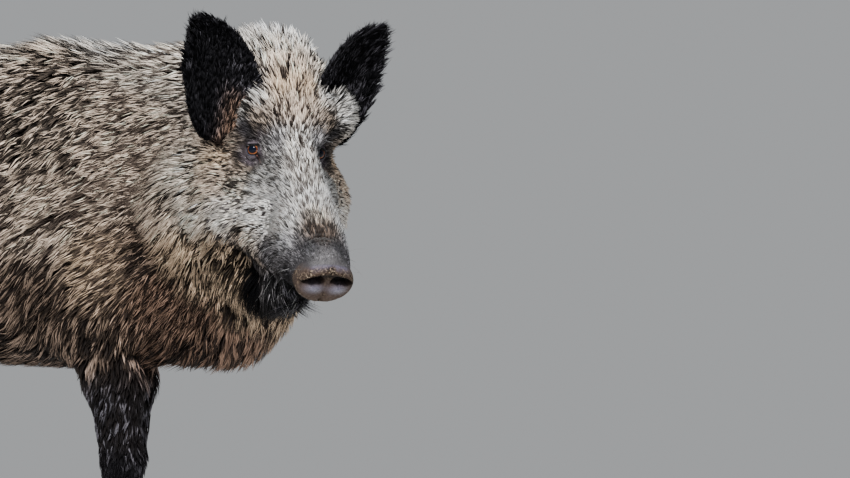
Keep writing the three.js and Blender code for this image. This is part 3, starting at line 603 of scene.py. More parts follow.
def array_of(things, key, columns, kind):
    """One row of values for each vertex, edge or triangle."""
    made = np.empty(len(things) * columns, kind)
    things.foreach_get(key, made)
    return made.reshape(-1, columns)


def vertex_places(mesh):
    return array_of(mesh.vertices, "co", 3, np.float32).astype(float)


def corners_of(mesh):
    mesh.calc_loop_triangles()
    return array_of(mesh.loop_triangles, "vertices", 3, np.int32)


def triangles_of(nodes):
    """Points, triangles and, for each triangle, the index of its node."""
    points, triangles, owners = [], [], []
    first = 0
    for index, node in enumerate(nodes):
        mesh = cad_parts[node].data
        corners = corners_of(mesh)
        points.append(array_of(mesh.vertices, "co", 3, np.float32))
        triangles.append(corners + first)
        owners.append(np.full(len(corners), index))
        first += len(mesh.vertices)
    return np.concatenate(points), np.concatenate(triangles), np.concatenate(owners)


def distances(nodes, low, shape):
    """Distance from the nodes' common outer surface at each voxel, below zero inside."""
    grid_step = vdb.createLinearTransform(VOXEL)
    points, triangles, _ = triangles_of(nodes)
    rough = vdb.FloatGrid.createLevelSetFromPolygons(
        points, triangles=triangles.astype(np.uint32), transform=grid_step, halfWidth=3
    )
    closed, quads = rough.convertToQuads(isovalue=CLOSE_CUTS)
    whole = vdb.FloatGrid.createLevelSetFromPolygons(
        closed, quads=quads, transform=grid_step, halfWidth=BAND
    )
    field = np.empty(shape, np.float32)
    whole.copyToArray(field, ijk=low)
    return field + CLOSE_CUTS


def evened(field, rounds):
    """The field averaged with its neighbours along each axis, which rounds the solids' facets."""
    for _ in range(rounds):
        for axis in range(3):
            inner = np.moveaxis(field, axis, 0)
            average = inner.copy()
            average[1:-1] = inner[1:-1] * 0.5 + (inner[:-2] + inner[2:]) * 0.25
            field = np.moveaxis(average, 0, axis)
    return np.ascontiguousarray(field)


def spread(function, low, shape):
    """A function of place over the voxels, worked out on a coarse lattice and filled in between."""
    axes = [np.arange(0, n + COARSE, COARSE) for n in shape]
    lattice = np.stack(np.meshgrid(*axes, indexing="ij"), -1)
    values = function((lattice.reshape(-1, 3) + low) * VOXEL).reshape(lattice.shape[:3])
    for axis, n in enumerate(shape):
        at = np.arange(n) / COARSE
        first = at.astype(int)
        share = (at - first).reshape([-1 if a == axis else 1 for a in range(3)])
        values = between(np.take(values, first, axis), np.take(values, first + 1, axis), share)
    return values.astype(np.float32)


def joined_softly(first, second, width):
    """The nearer of two surfaces at each voxel, rounded over a width where they meet."""
    share = np.clip(0.5 + (second - first) / (2 * width), 0, 1)
    return between(second, first, share) - width * share * (1 - share)


def ball_field(middle, radius, low, shape):
    """Distance from a ball at each voxel, below zero inside it."""
    away = [(np.arange(n) + l) * VOXEL - m for n, l, m in zip(shape, low, middle)]
    squared = away[0][:, None, None] ** 2 + away[1][None, :, None] ** 2 + away[2][None, None, :] ** 2
    return (np.sqrt(squared) - radius * MM).astype(np.float32)


def skin_surface():
    """Points and quads of the whole skin, inside the solids by the depth of the coat."""
    margin = 4
    low = [math.floor(v / VOXEL) - margin for v in CAD_BOX[0]]
    high = [math.ceil(v / VOXEL) + margin for v in CAD_BOX[1]]
    shape = [h - l + 1 for l, h in zip(low, high)]
    depth = spread(lambda points: read_map(points)[1][:, DEPTH] * MM, low, shape)
    bulk = evened(distances(BULK, low, shape), 2) + depth
    thin = distances(THIN, low, shape) + THIN_DEPTH
    field = joined_softly(bulk, thin, 3 * MM)
    for node, _ in EYE_SIDES:
        field = joined_softly(field, ball_field(centre(node), LID_RADIUS, low, shape), 3 * MM)
    grid = vdb.FloatGrid(BAND * VOXEL)
    grid.transform = vdb.createLinearTransform(VOXEL)
    grid.copyFromArray(np.ascontiguousarray(field), ijk=low, tolerance=0)
    return grid.convertToQuads(isovalue=0.0)


def mesh_from(name, points, faces):
    mesh = bpy.data.meshes.new(name)
    sides = faces.shape[1]
    mesh.vertices.add(len(points))
    mesh.vertices.foreach_set("co", np.ascontiguousarray(points, np.float32).ravel())
    mesh.loops.add(faces.size)
    mesh.loops.foreach_set("vertex_index", np.ascontiguousarray(faces, np.int32).ravel())
    mesh.polygons.add(len(faces))
    mesh.polygons.foreach_set("loop_start", np.arange(0, faces.size, sides, dtype=np.int32))
    smooth(mesh)
    mesh.update(calc_edges=True)
    return mesh


def smooth(mesh):
    mesh.polygons.foreach_set("use_smooth", np.ones(len(mesh.polygons), bool))


def show(name, mesh, material):
    piece = bpy.data.objects.new(name, mesh)
    bpy.context.scene.collection.objects.link(piece)
    mesh.materials.append(material)
    return piece


def settled(values, ends, rounds):
    """Values at the vertices, each drawn halfway towards the average of its neighbours, in rounds."""
    count = np.bincount(ends.ravel(), minlength=len(values)).astype(float)
    values = np.asarray(values, float).reshape(len(count), -1)
    for _ in range(rounds):
        total = np.zeros_like(values)
        for column in range(values.shape[1]):
            total[:, column] = np.bincount(ends[:, 0], values[ends[:, 1], column], len(count))
            total[:, column] += np.bincount(ends[:, 1], values[ends[:, 0], column], len(count))
        values = values * 0.5 + total / np.maximum(count, 1)[:, None] * 0.5
    return values


# ---- the face's own shape

DISC = {"forward": 228.0, "lean": math.radians(13.0), "width": 41.0, "height": 31.0}
EYE_SIDES = (("eye_left", 1.0), ("eye_right", -1.0))
GAZE = {"eye_left": (0.68, 0.62, 0.22), "eye_right": (0.49, 0.53, -0.69)}  # forward, up, left
OPENING_AXIS = {"eye_left": (0.66, 0.6, 0.45), "eye_right": (0.49, 0.53, 0.69)}  # forward, up, outwards
TO_SNOUT = (0.67, -0.17, -0.72)  # from an eye towards its inner corner
OPENING = {"round": 0.62, "top": 0.33, "corner": 0.98, "slit": 0.13}  # radians from its axis
LID_SLOPE = (-0.73, 0.68)  # the way up over the upper lid: towards the snout, up
FOLDS = (14.4, 19.2)  # of the skin behind the eye, millimetres from its middle
POUCH = (7.0, -10.0, 10.5)  # below the eye: towards the snout, up, and half its width


def eye_frame(node, sign):
    """Ways out of the lids' opening, towards its inner corner and up across it, as rows."""
    flip = np.array((1, 1, sign))
    out = unit(np.array(OPENING_AXIS[node])) * flip
    along = np.array(TO_SNOUT) * flip
    along = unit(along - out * (along @ out))
    up = np.cross(along, out)
    up = up if up[1] > 0 else -up
    return np.stack((out, along, up)) @ SKULL


def round_eye(points, node, sign):
    """Places round an eye in that frame, in millimetres."""
    return (points - centre(node)) @ eye_frame(node, sign).T / MM


# two lines across the opening's frame: from the eye's corner down, and over the lid
CREASE = ((14.5, -4.0), (25.0, -9.0), (-2.0, 15.0), (11.0, 12.0))


def lid_gap(local):
    """Angle from the edge of the lids' opening, below 0 within it: round, flat above, slit inwards."""
    ahead = np.maximum(local[:, 0], 0.05 * np.linalg.norm(local, axis=1))
    along = np.arctan2(local[:, 1], ahead)
    up = np.arctan2(local[:, 2], ahead)
    ring = np.hypot(along, up) - OPENING["round"]
    top = LID_SLOPE[0] * along + LID_SLOPE[1] * up - OPENING["top"]
    slit = np.abs(up) - OPENING["slit"] * ramp(1.05, 0.5, along)
    slit = np.maximum(slit, np.maximum(along - OPENING["corner"], 0.2 - along))
    gap = np.minimum(np.maximum(ring, top), slit)
    return np.where(local[:, 0] > 0, gap, 3.0)


def beside(local, start, end):
    """How far each place is from a straight line across the opening, in millimetres."""
    start, way = np.array(start), np.array(end) - np.array(start)
    offset = local[:, 1:] - start
    share = np.clip(offset @ way / (way @ way), 0, 1)
    return np.linalg.norm(offset - share[:, None] * way, axis=1)


def fold_lines(local):
    """1 along the folds behind the eye, over its lid and from its corner round the pouch, 0 off them."""
    out, along, up = local.T
    radius = np.hypot(along, up)
    behind = ramp(3, -6, along) * ramp(-20, -8, up)
    lines = sum(bell((radius - fold) / 1.1) for fold in FOLDS) * behind
    from_pouch = np.hypot(along - POUCH[0], up - POUCH[1])
    lines += bell((from_pouch - POUCH[2]) / 1.3) * ramp(2, -6, up - POUCH[1])
    lines += bell(beside(local, CREASE[0], CREASE[1]))
    lines += 0.7 * bell(beside(local, CREASE[2], CREASE[3]) / 1.1)
    return np.clip(lines, 0, 1) * (out > 0)


def shape_lids(points):
    """Draws the skin over each eyeball, with an opening, and with folds and a pouch round it."""
    for node, sign in EYE_SIDES:
        local = round_eye(points, node, sign)
        radius = np.linalg.norm(local, axis=1)
        near = radius < 36
        local, radius = local[near], radius[near]
        gap = lid_gap(local)
        plate = LID_RADIUS + 0.7 * ramp(0.05, 0.3, gap)
        plate -= 0.9 * bell((gap - 0.36) / 0.07) * (local[:, 2] > 0)
        keep = ramp(0.26, 0.8, gap)
        lid = between(plate, radius, keep)
        from_pouch = np.hypot(local[:, 1] - POUCH[0], local[:, 2] - POUCH[1])
        lid += 2.2 * bump(from_pouch, POUCH[2] * 1.15) * ramp(0.1, 0.4, gap)
        lid -= 1.1 * fold_lines(local)
        lid = np.where(gap < 0, EYE_RADIUS - 1.8, lid)
        points[near] = centre(node) + unit(points[near] - centre(node)) * lid[:, None] * MM
    return points


def disc_places(points):
    """Places on the snout's disc: across, up and out of it, in millimetres."""
    offset = in_skull(points) - np.array((DISC["forward"], 0, 0))
    lean = DISC["lean"]
    up = offset[:, 1] * math.cos(lean) - offset[:, 0] * math.sin(lean)
    out = offset[:, 0] * math.cos(lean) + offset[:, 1] * math.sin(lean)
    return np.stack((offset[:, 2], up, out), 1)


def from_disc(places):
    lean = DISC["lean"]
    forward = places[:, 2] * math.cos(lean) - places[:, 1] * math.sin(lean)
    up = places[:, 2] * math.sin(lean) + places[:, 1] * math.cos(lean)
    return from_skull(np.stack((forward + DISC["forward"], up, places[:, 0]), 1))


def disc_share(across, up):
    """0 in the middle of the disc, 1 at its edge."""
    return np.hypot(across / DISC["width"], up / DISC["height"])


def nostril(across, up):
    """1 in the middle of a nostril, 0 outside: a slit that curls down a little at its outer end."""
    side = np.abs(across) - 20.0
    bend = up - 9.5 + 0.012 * (side + 3) ** 2 + 0.7 * np.sin(across * 0.5)
    return 1 - ramp(0.85, 1.1, np.hypot(side / 15.5, bend / 7.0))


def lobes(across, up):
    """1 in the middle of either wet lobe below the nostrils."""
    return sum(bell((across - side) / 12, (up + 4.5) / 7.5) for side in (-17, 17))


def over_arch(across, up, top):
    """How far a spot is above an arch along the disc's upper edge, in millimetres."""
    return up - top + 0.009 * across**2


def rim(across, up):
    """1 along the muddy upper rim of the disc."""
    return bell(over_arch(across, up, 24) / 5.0) * ramp(1.06, 0.96, disc_share(across, up))


def disc_relief(across, up):
    """How far each spot of the disc's face stands out, in millimetres."""
    relief = 9.0 - 2.5 * disc_share(across, up) ** 2
    relief += 7.0 * rim(across, up)
    relief -= 12.0 * nostril(across, up)
    relief += 3.8 * lobes(across, up)
    relief -= 2.4 * bell(across / 3.2) * ramp(6, -24, up)  # groove between the lobes
    relief -= 4.5 * bell(across / 5.0, (up + 30) / 7)  # notch at the lower edge
    grit = np.sin(across * 1.1 + 1.3) * np.sin(up * 0.9) + 0.7 * np.sin(across * 2.3 + up * 1.7)
    relief += 1.1 * grit * rim(across, up)
    relief += 0.35 * np.sin(across * 0.9 + 2 * np.sin(up * 0.5)) * ramp(-4, -20, up)
    return relief


def shape_disc(points):
    places = disc_places(points)
    across, up, out = places.T
    share = disc_share(across, up)
    face = (share < 1.02) & (out > -9)
    weight = (1 - ramp(0.86, 1.02, share)) * face
    places[:, 2] = between(out, disc_relief(across, up), weight)
    return np.where(weight[:, None] > 0, from_disc(places), points)


def shape_bridge(points):
    """The bare ridge over the disc with its wrinkles, the dip behind it and the folds beside it."""
    forward, up, left = in_skull(points).T
    top = ramp(10, 26, up) * bump(np.abs(left), 46)
    dip = 2.6 * bell((forward - 181) / 9) * bump(np.abs(left), 34)
    ridge = 2.6 * bell((forward - 206) / 10) * ramp(26, 15, np.abs(left))
    folds = 2.0 * bell((forward - 195) / 10, (np.abs(left) - 22) / 4.5)
    upright = 0.45 * np.sin(left * 1.5) * bell((forward - 204) / 9)
    across = 0.4 * np.sin((forward - 0.012 * left**2) * 0.9)
    across *= ramp(150, 170, forward) * ramp(200, 185, forward)
    return points + ((ridge - dip - folds + upright + across) * top)[:, None] * MM * SKULL[1]


def refined(mesh, reach_eye, reach_disc):
    """Splits the faces within these millimetres of an eye or of the disc's middle."""
    work = bmesh.new()
    work.from_mesh(mesh)
    middles = np.array([f.calc_center_median() for f in work.faces])
    on_disc = disc_places(middles)
    near = (np.abs(on_disc[:, 2]) < 16) & (np.linalg.norm(on_disc[:, :2], axis=1) < reach_disc)
    for node, _ in EYE_SIDES:
        near |= np.linalg.norm(middles - centre(node), axis=1) < reach_eye * MM
    edges = {e for f, c in zip(work.faces, near) if c for e in f.edges}
    bmesh.ops.subdivide_edges(work, edges=list(edges), cuts=1, use_grid_fill=True)
    work.to_mesh(mesh)
    work.free()


SKIN_TRIANGLES = 190000


def decimated(piece, share, keep):
    """Thins the mesh where the coat hides it; keep is true at the vertices that stay."""
    group = piece.vertex_groups.new(name="thin_out")
    group.add(np.nonzero(~keep)[0].tolist(), 1.0, "REPLACE")
    modifier = piece.modifiers.new("thin", "DECIMATE")
    modifier.ratio = share
    modifier.vertex_group = group.name
    evaluated = piece.evaluated_get(bpy.context.evaluated_depsgraph_get())
    piece.modifiers.remove(modifier)
    old = piece.data
    piece.data = bpy.data.meshes.new_from_object(evaluated)
    piece.vertex_groups.clear()
    bpy.data.meshes.remove(old)


def make_skin():
    points, quads = skin_surface()
    mesh = mesh_from("skin", points, quads.astype(np.int32))
    refined(mesh, 30, 46)
    refined(mesh, 19, 30)
    piece = show("skin", mesh, skin_material())
    face = in_skull(vertex_places(mesh))
    keep = (face[:, 0] > -60) & (face[:, 1] > -75) & (np.abs(face[:, 2]) < 80)
    bpy.context.view_layer.update()
    triangles = sum(len(p.vertices) - 2 for p in mesh.polygons)
    decimated(piece, SKIN_TRIANGLES / triangles, keep)
    mesh = piece.data
    places = vertex_places(mesh)
    places = shape_disc(shape_bridge(places))
    places = shape_lids(places)
    mesh.vertices.foreach_set("co", places.astype(np.float32).ravel())
    smooth(mesh)
    mesh.update()
    return piece


# ---- what the coat is at each vertex

Field = namedtuple("Field", "places normals owner lie depth length width cover pale tip ground")
OWNERS = [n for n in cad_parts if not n.startswith(("eye", "hoof", "dewclaw"))]
EAR = {"back": 66.8, "rake": 0.36, "out": 90.0, "open": math.radians(25.0), "half_width": 62.0}


def owners_of(places):
    """The solid that each place is nearest to, as an index into OWNERS."""
    points, triangles, owners = triangles_of(OWNERS)
    tree = BVHTree.FromPolygons(points.tolist(), triangles.tolist())
    return np.array([owners[tree.find_nearest(p)[2]] for p in places])


def ear_places(places, sign):
    """Share across an ear (-1 inner, 1 outer edge), height up it, the way across and out of its hollow."""
    forward, up, left = in_skull(places).T
    middle = -EAR["back"] - EAR["rake"] * up
    turn = EAR["open"]
    across = np.array((-math.sin(turn), 0.0, math.cos(turn) * sign))
    offset = np.stack((forward - middle, np.zeros_like(up), left - EAR["out"] * sign), 1)
    hollow = unit((math.cos(turn), 0.3, math.sin(turn) * sign))
    return offset @ across / EAR["half_width"], up, across @ SKULL, hollow @ SKULL


def groom_ears(places, normals, owner, lie, values):
    """Hair runs up each ear and fans out past its rim, and is longer and paler in the hollow."""
    for node, sign in (("ear_left", 1.0), ("ear_right", -1.0)):
        ear = owner == OWNERS.index(node)
        share, up, across, hollow = ear_places(places[ear], sign)
        stem = np.array((-EAR["rake"], 1.0, 0.12 * sign)) @ SKULL
        edge = np.clip(ramp(0.5, 0.9, np.abs(share)) + ramp(90, 125, up), 0, 1)
        fan = (share * (0.5 + 1.1 * edge) * ramp(-40, 40, up))[:, None] * across
        lie[ear] = unit(stem + fan)
        inner = ramp(0.1, 0.5, normals[ear] @ hollow)
        root = (1 - ramp(20, 75, up)) * (1 - ramp(-0.2, 0.2, share))
        values[ear, DEPTH] = 2.5 + 2.5 * edge
        values[ear, LENGTH] = 12 + 6 * edge * (1 - 0.6 * ramp(95, 125, up)) + 4 * inner
        values[ear, WIDTH] = 1.3
        values[ear, COVER] = 3.4 - 0.8 * inner
        front = ((1 - ramp(4, 30, up)) * (1 - ramp(-0.4, 0.1, share)))[:, None]
        # the left ear gets a larger share of pale hairs than the right: painted sheen of the light on it
        values[ear, PALE] = 0.02 + 0.2 * (sign > 0) + 0.25 * inner * root + 0.08 * front[:, 0]
        tip = SLATE * (0.6 + 0.6 * inner * root)[:, None]
        values[ear, TIP] = between(tip, RUSSET, front)
        values[ear, GROUND] = INK
    return lie, values


ROUND_EYE = np.array((4.5, 0.9, 1.6, 0.3, *ASH, *PLUM))  # all columns but the depth
TAIL = (3, 32, 2.2, 3.4, 0.15, *SLATE, *SOOT)


def groom_eyes(places, values):
    """Round each eye the lids are bare, and beyond them are short hairs, some of them pale."""
    for node, sign in EYE_SIDES:
        local = round_eye(places, node, sign)
        reach = np.hypot(local[:, 1] - 3.5, local[:, 2] + 4.5)
        short = (1 - ramp(14, 20, reach)) * (local[:, 0] > -4) * (np.abs(local[:, 0]) < 30)
        close = ramp(16.0, 14.6, np.linalg.norm(local, axis=1))
        bare = (1 - ramp(0.45, 0.7, lid_gap(local))) * close
        short = np.maximum(short, bare)
        values[:, DEPTH] *= 1 - short * 0.75
        values[:, LENGTH:] += (ROUND_EYE - values[:, LENGTH:]) * short[:, None]
        values[:, COVER] *= 1 - bare * 0.97
    return values


def groom(mesh):
    places = vertex_places(mesh)
    normals = array_of(mesh.vertices, "normal", 3, np.float32).astype(float)
    owner = owners_of(places)
    lie, values = read_map(places)
    lie, values = groom_ears(places, normals, owner, lie, values)
    values = groom_eyes(places, values)
    across, up, out = disc_places(places).T
    values[:, COVER] *= 1 - (out > -10) * ramp(1.12, 1.02, disc_share(across, up))
    tail = owner == OWNERS.index("tail")
    lie[tail] = (0, 0.05, -1)
    values[tail] = TAIL
    ends = array_of(mesh.edges, "vertices", 2, np.int32)
    lie = settled(lie, ends, 5)
    values = settled(values, ends, 2)
    lie = laid_flat(lie, normals)
    return Field(places, normals, owner, lie, *values[:, : PALE + 1].T, values[:, TIP], values[:, GROUND])


def store(mesh, name, values):
    kind = "FLOAT" if values.ndim == 1 else "FLOAT_COLOR"
    made = mesh.attributes.new(name, kind, "POINT")
    if values.ndim == 1:
        made.data.foreach_set("value", values.astype(np.float32))
        return
    colours = np.ones((len(values), 4), np.float32)
    colours[:, :3] = values
    made.data.foreach_set("color", colours.ravel())


def paint_disc(base, places):
    """The disc's colours: lilac lobes and top, a painted shadow under the rim, a brown edge, and nostrils
    painted almost black as the shade inside them.
    """
    across, up, out = disc_places(places).T
    share = disc_share(across, up)
    on_disc = (out > -14) * ramp(1.06, 0.98, share)
    pit = nostril(across, up) * on_disc
    wet = lobes(across, up) * on_disc
    above = ramp(0, 8, over_arch(across, up, 25)) * ramp(34, 22, np.abs(across))
    hide = between(DISC_BROWN, DISC_LILAC, np.maximum(wet, above)[:, None])
    # painted shadow under the overhanging rim, which darkens the hide there
    rim_shadow = bell(over_arch(across, up, 16) / 5.0) * ramp(1.0, 0.85, share)
    hide = hide * (1 - 0.85 * rim_shadow)[:, None]
    base = between(base, hide, on_disc[:, None])
    # the nostrils are painted almost black: painted shade inside their openings
    base = base * (1 - 0.97 * pit)[:, None]
    mud = rim(across, up) * 1.4 + 0.5 * bell(across / 5)
    mud += 0.6 * ramp(0.82, 1.0, share) * (up < 8)
    mud = np.clip(mud, 0, 1) * on_disc * (1 - pit) * (1 - 0.85 * wet) * (1 - 0.7 * rim_shadow)
    return base, np.maximum(wet, 0.5 * above) * (1 - pit), mud


# the tones: a pink corner; a dark edge, also used for painted shadow and painted shade; a wet line painted
# as a bluish reflection; painted shade
EYE_TONES = ((96, 64, 60), (2, 2, 3), (58, 66, 88), (38, 33, 35))  # corner, edge, wet line, shade


def paint_eyes(base, places):
    """Dark-edged lids with a painted shadow over the upper one, a wet line below painted as a bluish
    reflection, a pink inner corner, and painted shade behind the eye and along the folds of the skin.
    """
    pink, edge, wet, shade = (srgb(*tone) for tone in EYE_TONES)
    for node, sign in EYE_SIDES:
        local = round_eye(places, node, sign)
        radius = np.linalg.norm(local, axis=1)
        near = radius < 34
        gap = lid_gap(local)
        over = ramp(-0.1, 0.35, local[:, 1:] @ LID_SLOPE / EYE_RADIUS)
        duct = beside(local, (10.0, -2.2), (13.5, -4.0))
        ring = ramp(26.0, 18.0, radius) * ramp(14.0, 15.5, radius)
        shares = (
            # painted shade in the hollow behind the eye, and painted shade along the folds of the skin
            (0.7 * ring * ramp(4.0, -4.0, local[:, 1]), shade),
            (0.8 * fold_lines(local), edge),
            (0.45 * ramp(0.6, 0.1, gap), edge),
            # the wet line along the lower lid, painted as a bluish reflection
            (ramp(0.15, 0.09, gap) * (1 - over) * ramp(9, 5, local[:, 1]), wet),
            (ramp(0.1, 0.04, gap) * (1 - over), edge),
            # a dark margin on the upper lid, widened into a painted shadow of the lid
            (ramp(0.36, 0.24, gap) * over, edge),
            (ramp(2.8, 1.8, duct) * ramp(22.0, 19.0, radius), edge),
            (ramp(1.1, 0.6, duct) * ramp(15.2, 14.0, radius), pink),
        )
        for share, colour in shares:
            base = between(base, colour, (share * near)[:, None])
    return base


def paint_skin(mesh, field):
    """The same markings as the coat's, seen between its tufts, and the bare skin of the face, with the
    painted shade, shadow and reflection of the disc and the eyes.
    """
    under = field.ground * 0.75 + field.tip * (field.pale * 0.25)[:, None]
    bare = 1 - ramp(0.4, 1.6, field.cover)
    base, wet, mud = paint_disc(under, field.places)
    base = paint_eyes(base, field.places)
    store(mesh, "Marking_and_painted_light", base)
    store(mesh, "Bare", bare)
    store(mesh, "Wet", np.maximum(wet, 0.1 * (bare > 0.5)))
    store(mesh, "Mud", mud)


# ---- the coat

Group = namedtuple("Group", "name axis_place axis zero fine")
NOSE = from_skull((100, -10, 0))
SPAN = 0.003  # of a tuft's patch on the unwrap
PIECE_TRIANGLES = 192000  # the most that one piece of the coat may have
SHORT = 15.0  # a tuft up to this length is straight, a longer one has a joint
SUNK = 0.8  # how far a tuft's root lies under the skin, in millimetres
LEAST_COVERED = 1.2  # by a tuft, in square millimetres
LOCK = 6  # tufts that lean together, on average
TOGETHER = 0.62  # how often a tuft is as dark or pale as the one it leans towards


def groups_of(field):
    """Which coat piece each vertex belongs to, and the line that the piece is unwrapped round."""
    forward, up, left = in_skull(field.places).T
    side, back, _ = in_body(field.places).T
    names = np.array(OWNERS)[field.owner]
    head = np.isin(names, ("head", "lower_jaw", "snout"))
    rows = []

    def add(name, where, place, axis, zero, fine=1.0):
        rows.append((Group(name, place, unit(axis), unit(zero), fine), where))

    cheek = from_skull((0, -90, 0))
    front = forward > 55
    halves = (("right", left < 0), ("left", left >= 0))
    for half, where in halves:
        add(f"coat_muzzle_{half}", head & front & where, NOSE, SKULL[0], SKULL[2])
    add("coat_crown", head & ~front & (up > 0), from_skull((-40, -60, 0)), SKULL[2], SKULL[1], 0.8)
    for half, where in halves:
        add(f"coat_cheek_{half}", head & ~front & (up <= 0) & where, cheek, SKULL[0], SKULL[2], 0.72)
    for ear, sign in (("left", 1), ("right", -1)):
        stem = from_skull((-70, 20, 90 * sign))
        add(f"coat_ear_{ear}", names == f"ear_{ear}", stem, SKULL[1], SKULL[0])
    neck = names == "neck"
    middle = from_body((-60, -330, 600))
    turned = side < -90 + (back + 330) * 0.55
    add("coat_neck_right", neck & turned, middle, (0.5, 0.85, 0), (0, 0, 1), 0.6)
    add("coat_neck_left", neck & ~turned, middle, (0.5, 0.85, 0), (0, 0, 1), 1.3)
    trunk = names == "trunk"
    barrel = from_body((0, 0, 600))
    for half, where in (("right", side < 0), ("left", side >= 0)):
        for part, stretch in (("front", back < 120), ("rear", back >= 120)):
            fine = 0.8 if (half, part) == ("right", "front") else 1.2
            add(f"coat_trunk_{half}_{part}", trunk & where & stretch, barrel, (0, 1, 0), (0, 0, 1), fine)
    for leg in ("foreleg_left", "foreleg_right", "hindleg_left", "hindleg_right"):
        add(f"coat_{leg}", names == leg, centre(leg), (0, 0, 1), (0, 1, 0), 1.6)
    add("coat_tail", names == "tail", centre("tail"), (0, 0, 1), (0, 1, 0))
    return rows


def unwrapped(group, points):
    """Each point's place on the skin unrolled round the group's axis, within the unit square."""
    offset = points - group.axis_place
    along = offset @ group.axis
    quarter = np.cross(group.axis, group.zero)
    angle = np.arctan2(offset @ quarter, offset @ group.zero)
    rolled = np.stack((angle, along), 1)
    low, high = rolled.min(0), rolled.max(0)
    return 0.01 + (rolled - low) / np.maximum(high - low, 1e-6) * 0.98


def sow(field, corners, chosen, fine):
    """Roots of tufts on the chosen triangles, as corner indices and shares of the three corners."""
    corners = corners[chosen]
    a, b, c = (field.places[corners[:, k]] for k in range(3))
    area = np.linalg.norm(np.cross(b - a, c - a), axis=1) / 2 / MM**2
    length = field.length[corners].mean(1)
    covered = field.width[corners].mean(1) * fine * length / 2
    expected = area * field.cover[corners].mean(1) / np.maximum(covered, LEAST_COVERED)
    triangles = (expected * np.where(length < SHORT, len(SPIKE.faces), len(JOINTED.faces))).sum()
    expected *= min(1.0, PIECE_TRIANGLES / triangles)
    counts = rng.poisson(expected)
    index = np.repeat(np.arange(len(corners)), counts)
    first, second = rng.random((2, len(index)))
    flip = first + second > 1
    first[flip], second[flip] = 1 - first[flip], 1 - second[flip]
    return corners[index], np.stack((1 - first - second, first, second), 1)


def at_roots(values, corners, shares):
    if values.ndim == 1:
        return (values[corners] * shares).sum(1)
    return (values[corners] * shares[..., None]).sum(1)


# a tuft's triangles, how far up it each corner is (0 root, 1 middle, 2 tip), and its place across
Shape = namedtuple("Shape", "faces level across")
SPIKE = Shape(
    np.array([(0, 2, 1), (0, 1, 3), (1, 2, 3), (2, 0, 3)]),
    np.array((0, 0, 0, 2)),
    np.array((0, 0.5, 1, 0.5)),
)
NEXT = (1, 2, 0)  # the corner after each of a ring's three
JOINTED = Shape(
    np.array(
        [(0, 2, 1)]
        + [f for k, n in enumerate(NEXT) for f in ((k, n, 3 + n), (k, 3 + n, 3 + k))]
        + [(3 + k, 3 + n, 6) for k, n in enumerate(NEXT)]
    ),
    np.array((0, 0, 0, 1, 1, 1, 2)),
    np.array((0, 0.5, 1, 0, 0.5, 1, 0.5)),
)


def locks(root):
    """For each tuft, the one near it that it leans towards."""
    leaders = np.nonzero(rng.random(len(root)) < 1 / LOCK)[0]
    if not len(leaders):
        return np.arange(len(root))
    tree = tree_of(root[leaders])
    return leaders[[tree.find(place)[1] for place in root]]


def tuft_colours(count, tip, ground, pale, lock):
    """Colours at the root, the middle and the tip of each tuft."""
    chance = np.where(rng.random(count) < TOGETHER, rng.random(count)[lock], rng.random(count))
    light = chance < pale * 0.88
    strength = np.where(light, rng.uniform(0.75, 1.1, count), rng.uniform(0.0, 0.25, count))[:, None]
    shade = (rng.uniform(0.85, 1.15, count) * rng.uniform(0.68, 1.28, count)[lock])[:, None]
    end = np.clip((tip * strength + ground * (1 - np.minimum(strength, 1))) * shade, 0, 0.95)
    middle_share = np.where(light, rng.uniform(0.35, 0.85, count), 0.1)[:, None]
    root = ground * 0.75 * shade
    return np.stack((root, between(root, end, middle_share), end), 1)


def tuft_lines(root, normal, lie, length, depth, lock):
    """The middle and the tip of each tuft, and the way across it."""
    count = len(root)
    across = np.cross(normal, lie)
    sway = rng.normal(0, 0.13, (count, 1)) + rng.normal(0, 0.13, (count, 1))[lock]
    lie = unit(lie + across * sway)
    across = np.cross(normal, lie)
    rise = np.arcsin(np.clip(depth / length, 0.1, 0.62)) * rng.uniform(0.7, 1.25, count)
    first, second = 1.3 * rise, 0.62 * rise
    up1, up2 = np.sin(first)[:, None], np.sin(second)[:, None]
    along1, along2 = np.cos(first)[:, None], np.cos(second)[:, None]
    curl = across * (rng.normal(0, 0.08, (count, 1)) + rng.normal(0, 0.1, (count, 1))[lock])
    half = (length / 2)[:, None] * MM
    middle = root + (lie * along1 + normal * up1) * half
    tip = middle + (lie * along2 + normal * up2 + curl) * half
    pull = (tip - root)[lock] + root[lock] - tip
    reach = np.linalg.norm(pull, axis=1, keepdims=True)
    pull *= np.minimum(1, 0.3 * length[:, None] * MM / np.maximum(reach, 1e-9))
    return middle + pull * 0.2, tip + pull * rng.uniform(0.3, 0.75, (count, 1)), across


def tuft_points(shape, root, normal, width, middle, tip, across):
    """The corners of each tuft: three round its root, three round its middle if jointed, and its tip."""
    wide = across * (width / 2)[:, None] * MM
    thick = normal * (width * 0.3)[:, None] * MM
    rings = [(root - normal * SUNK * MM, 1.0)]
    if shape is JOINTED:
        rings.append((middle, 0.8))
    corners = [place + way * share for place, share in rings for way in (wide, thick, -wide)]
    return np.stack((*corners, tip), 1)


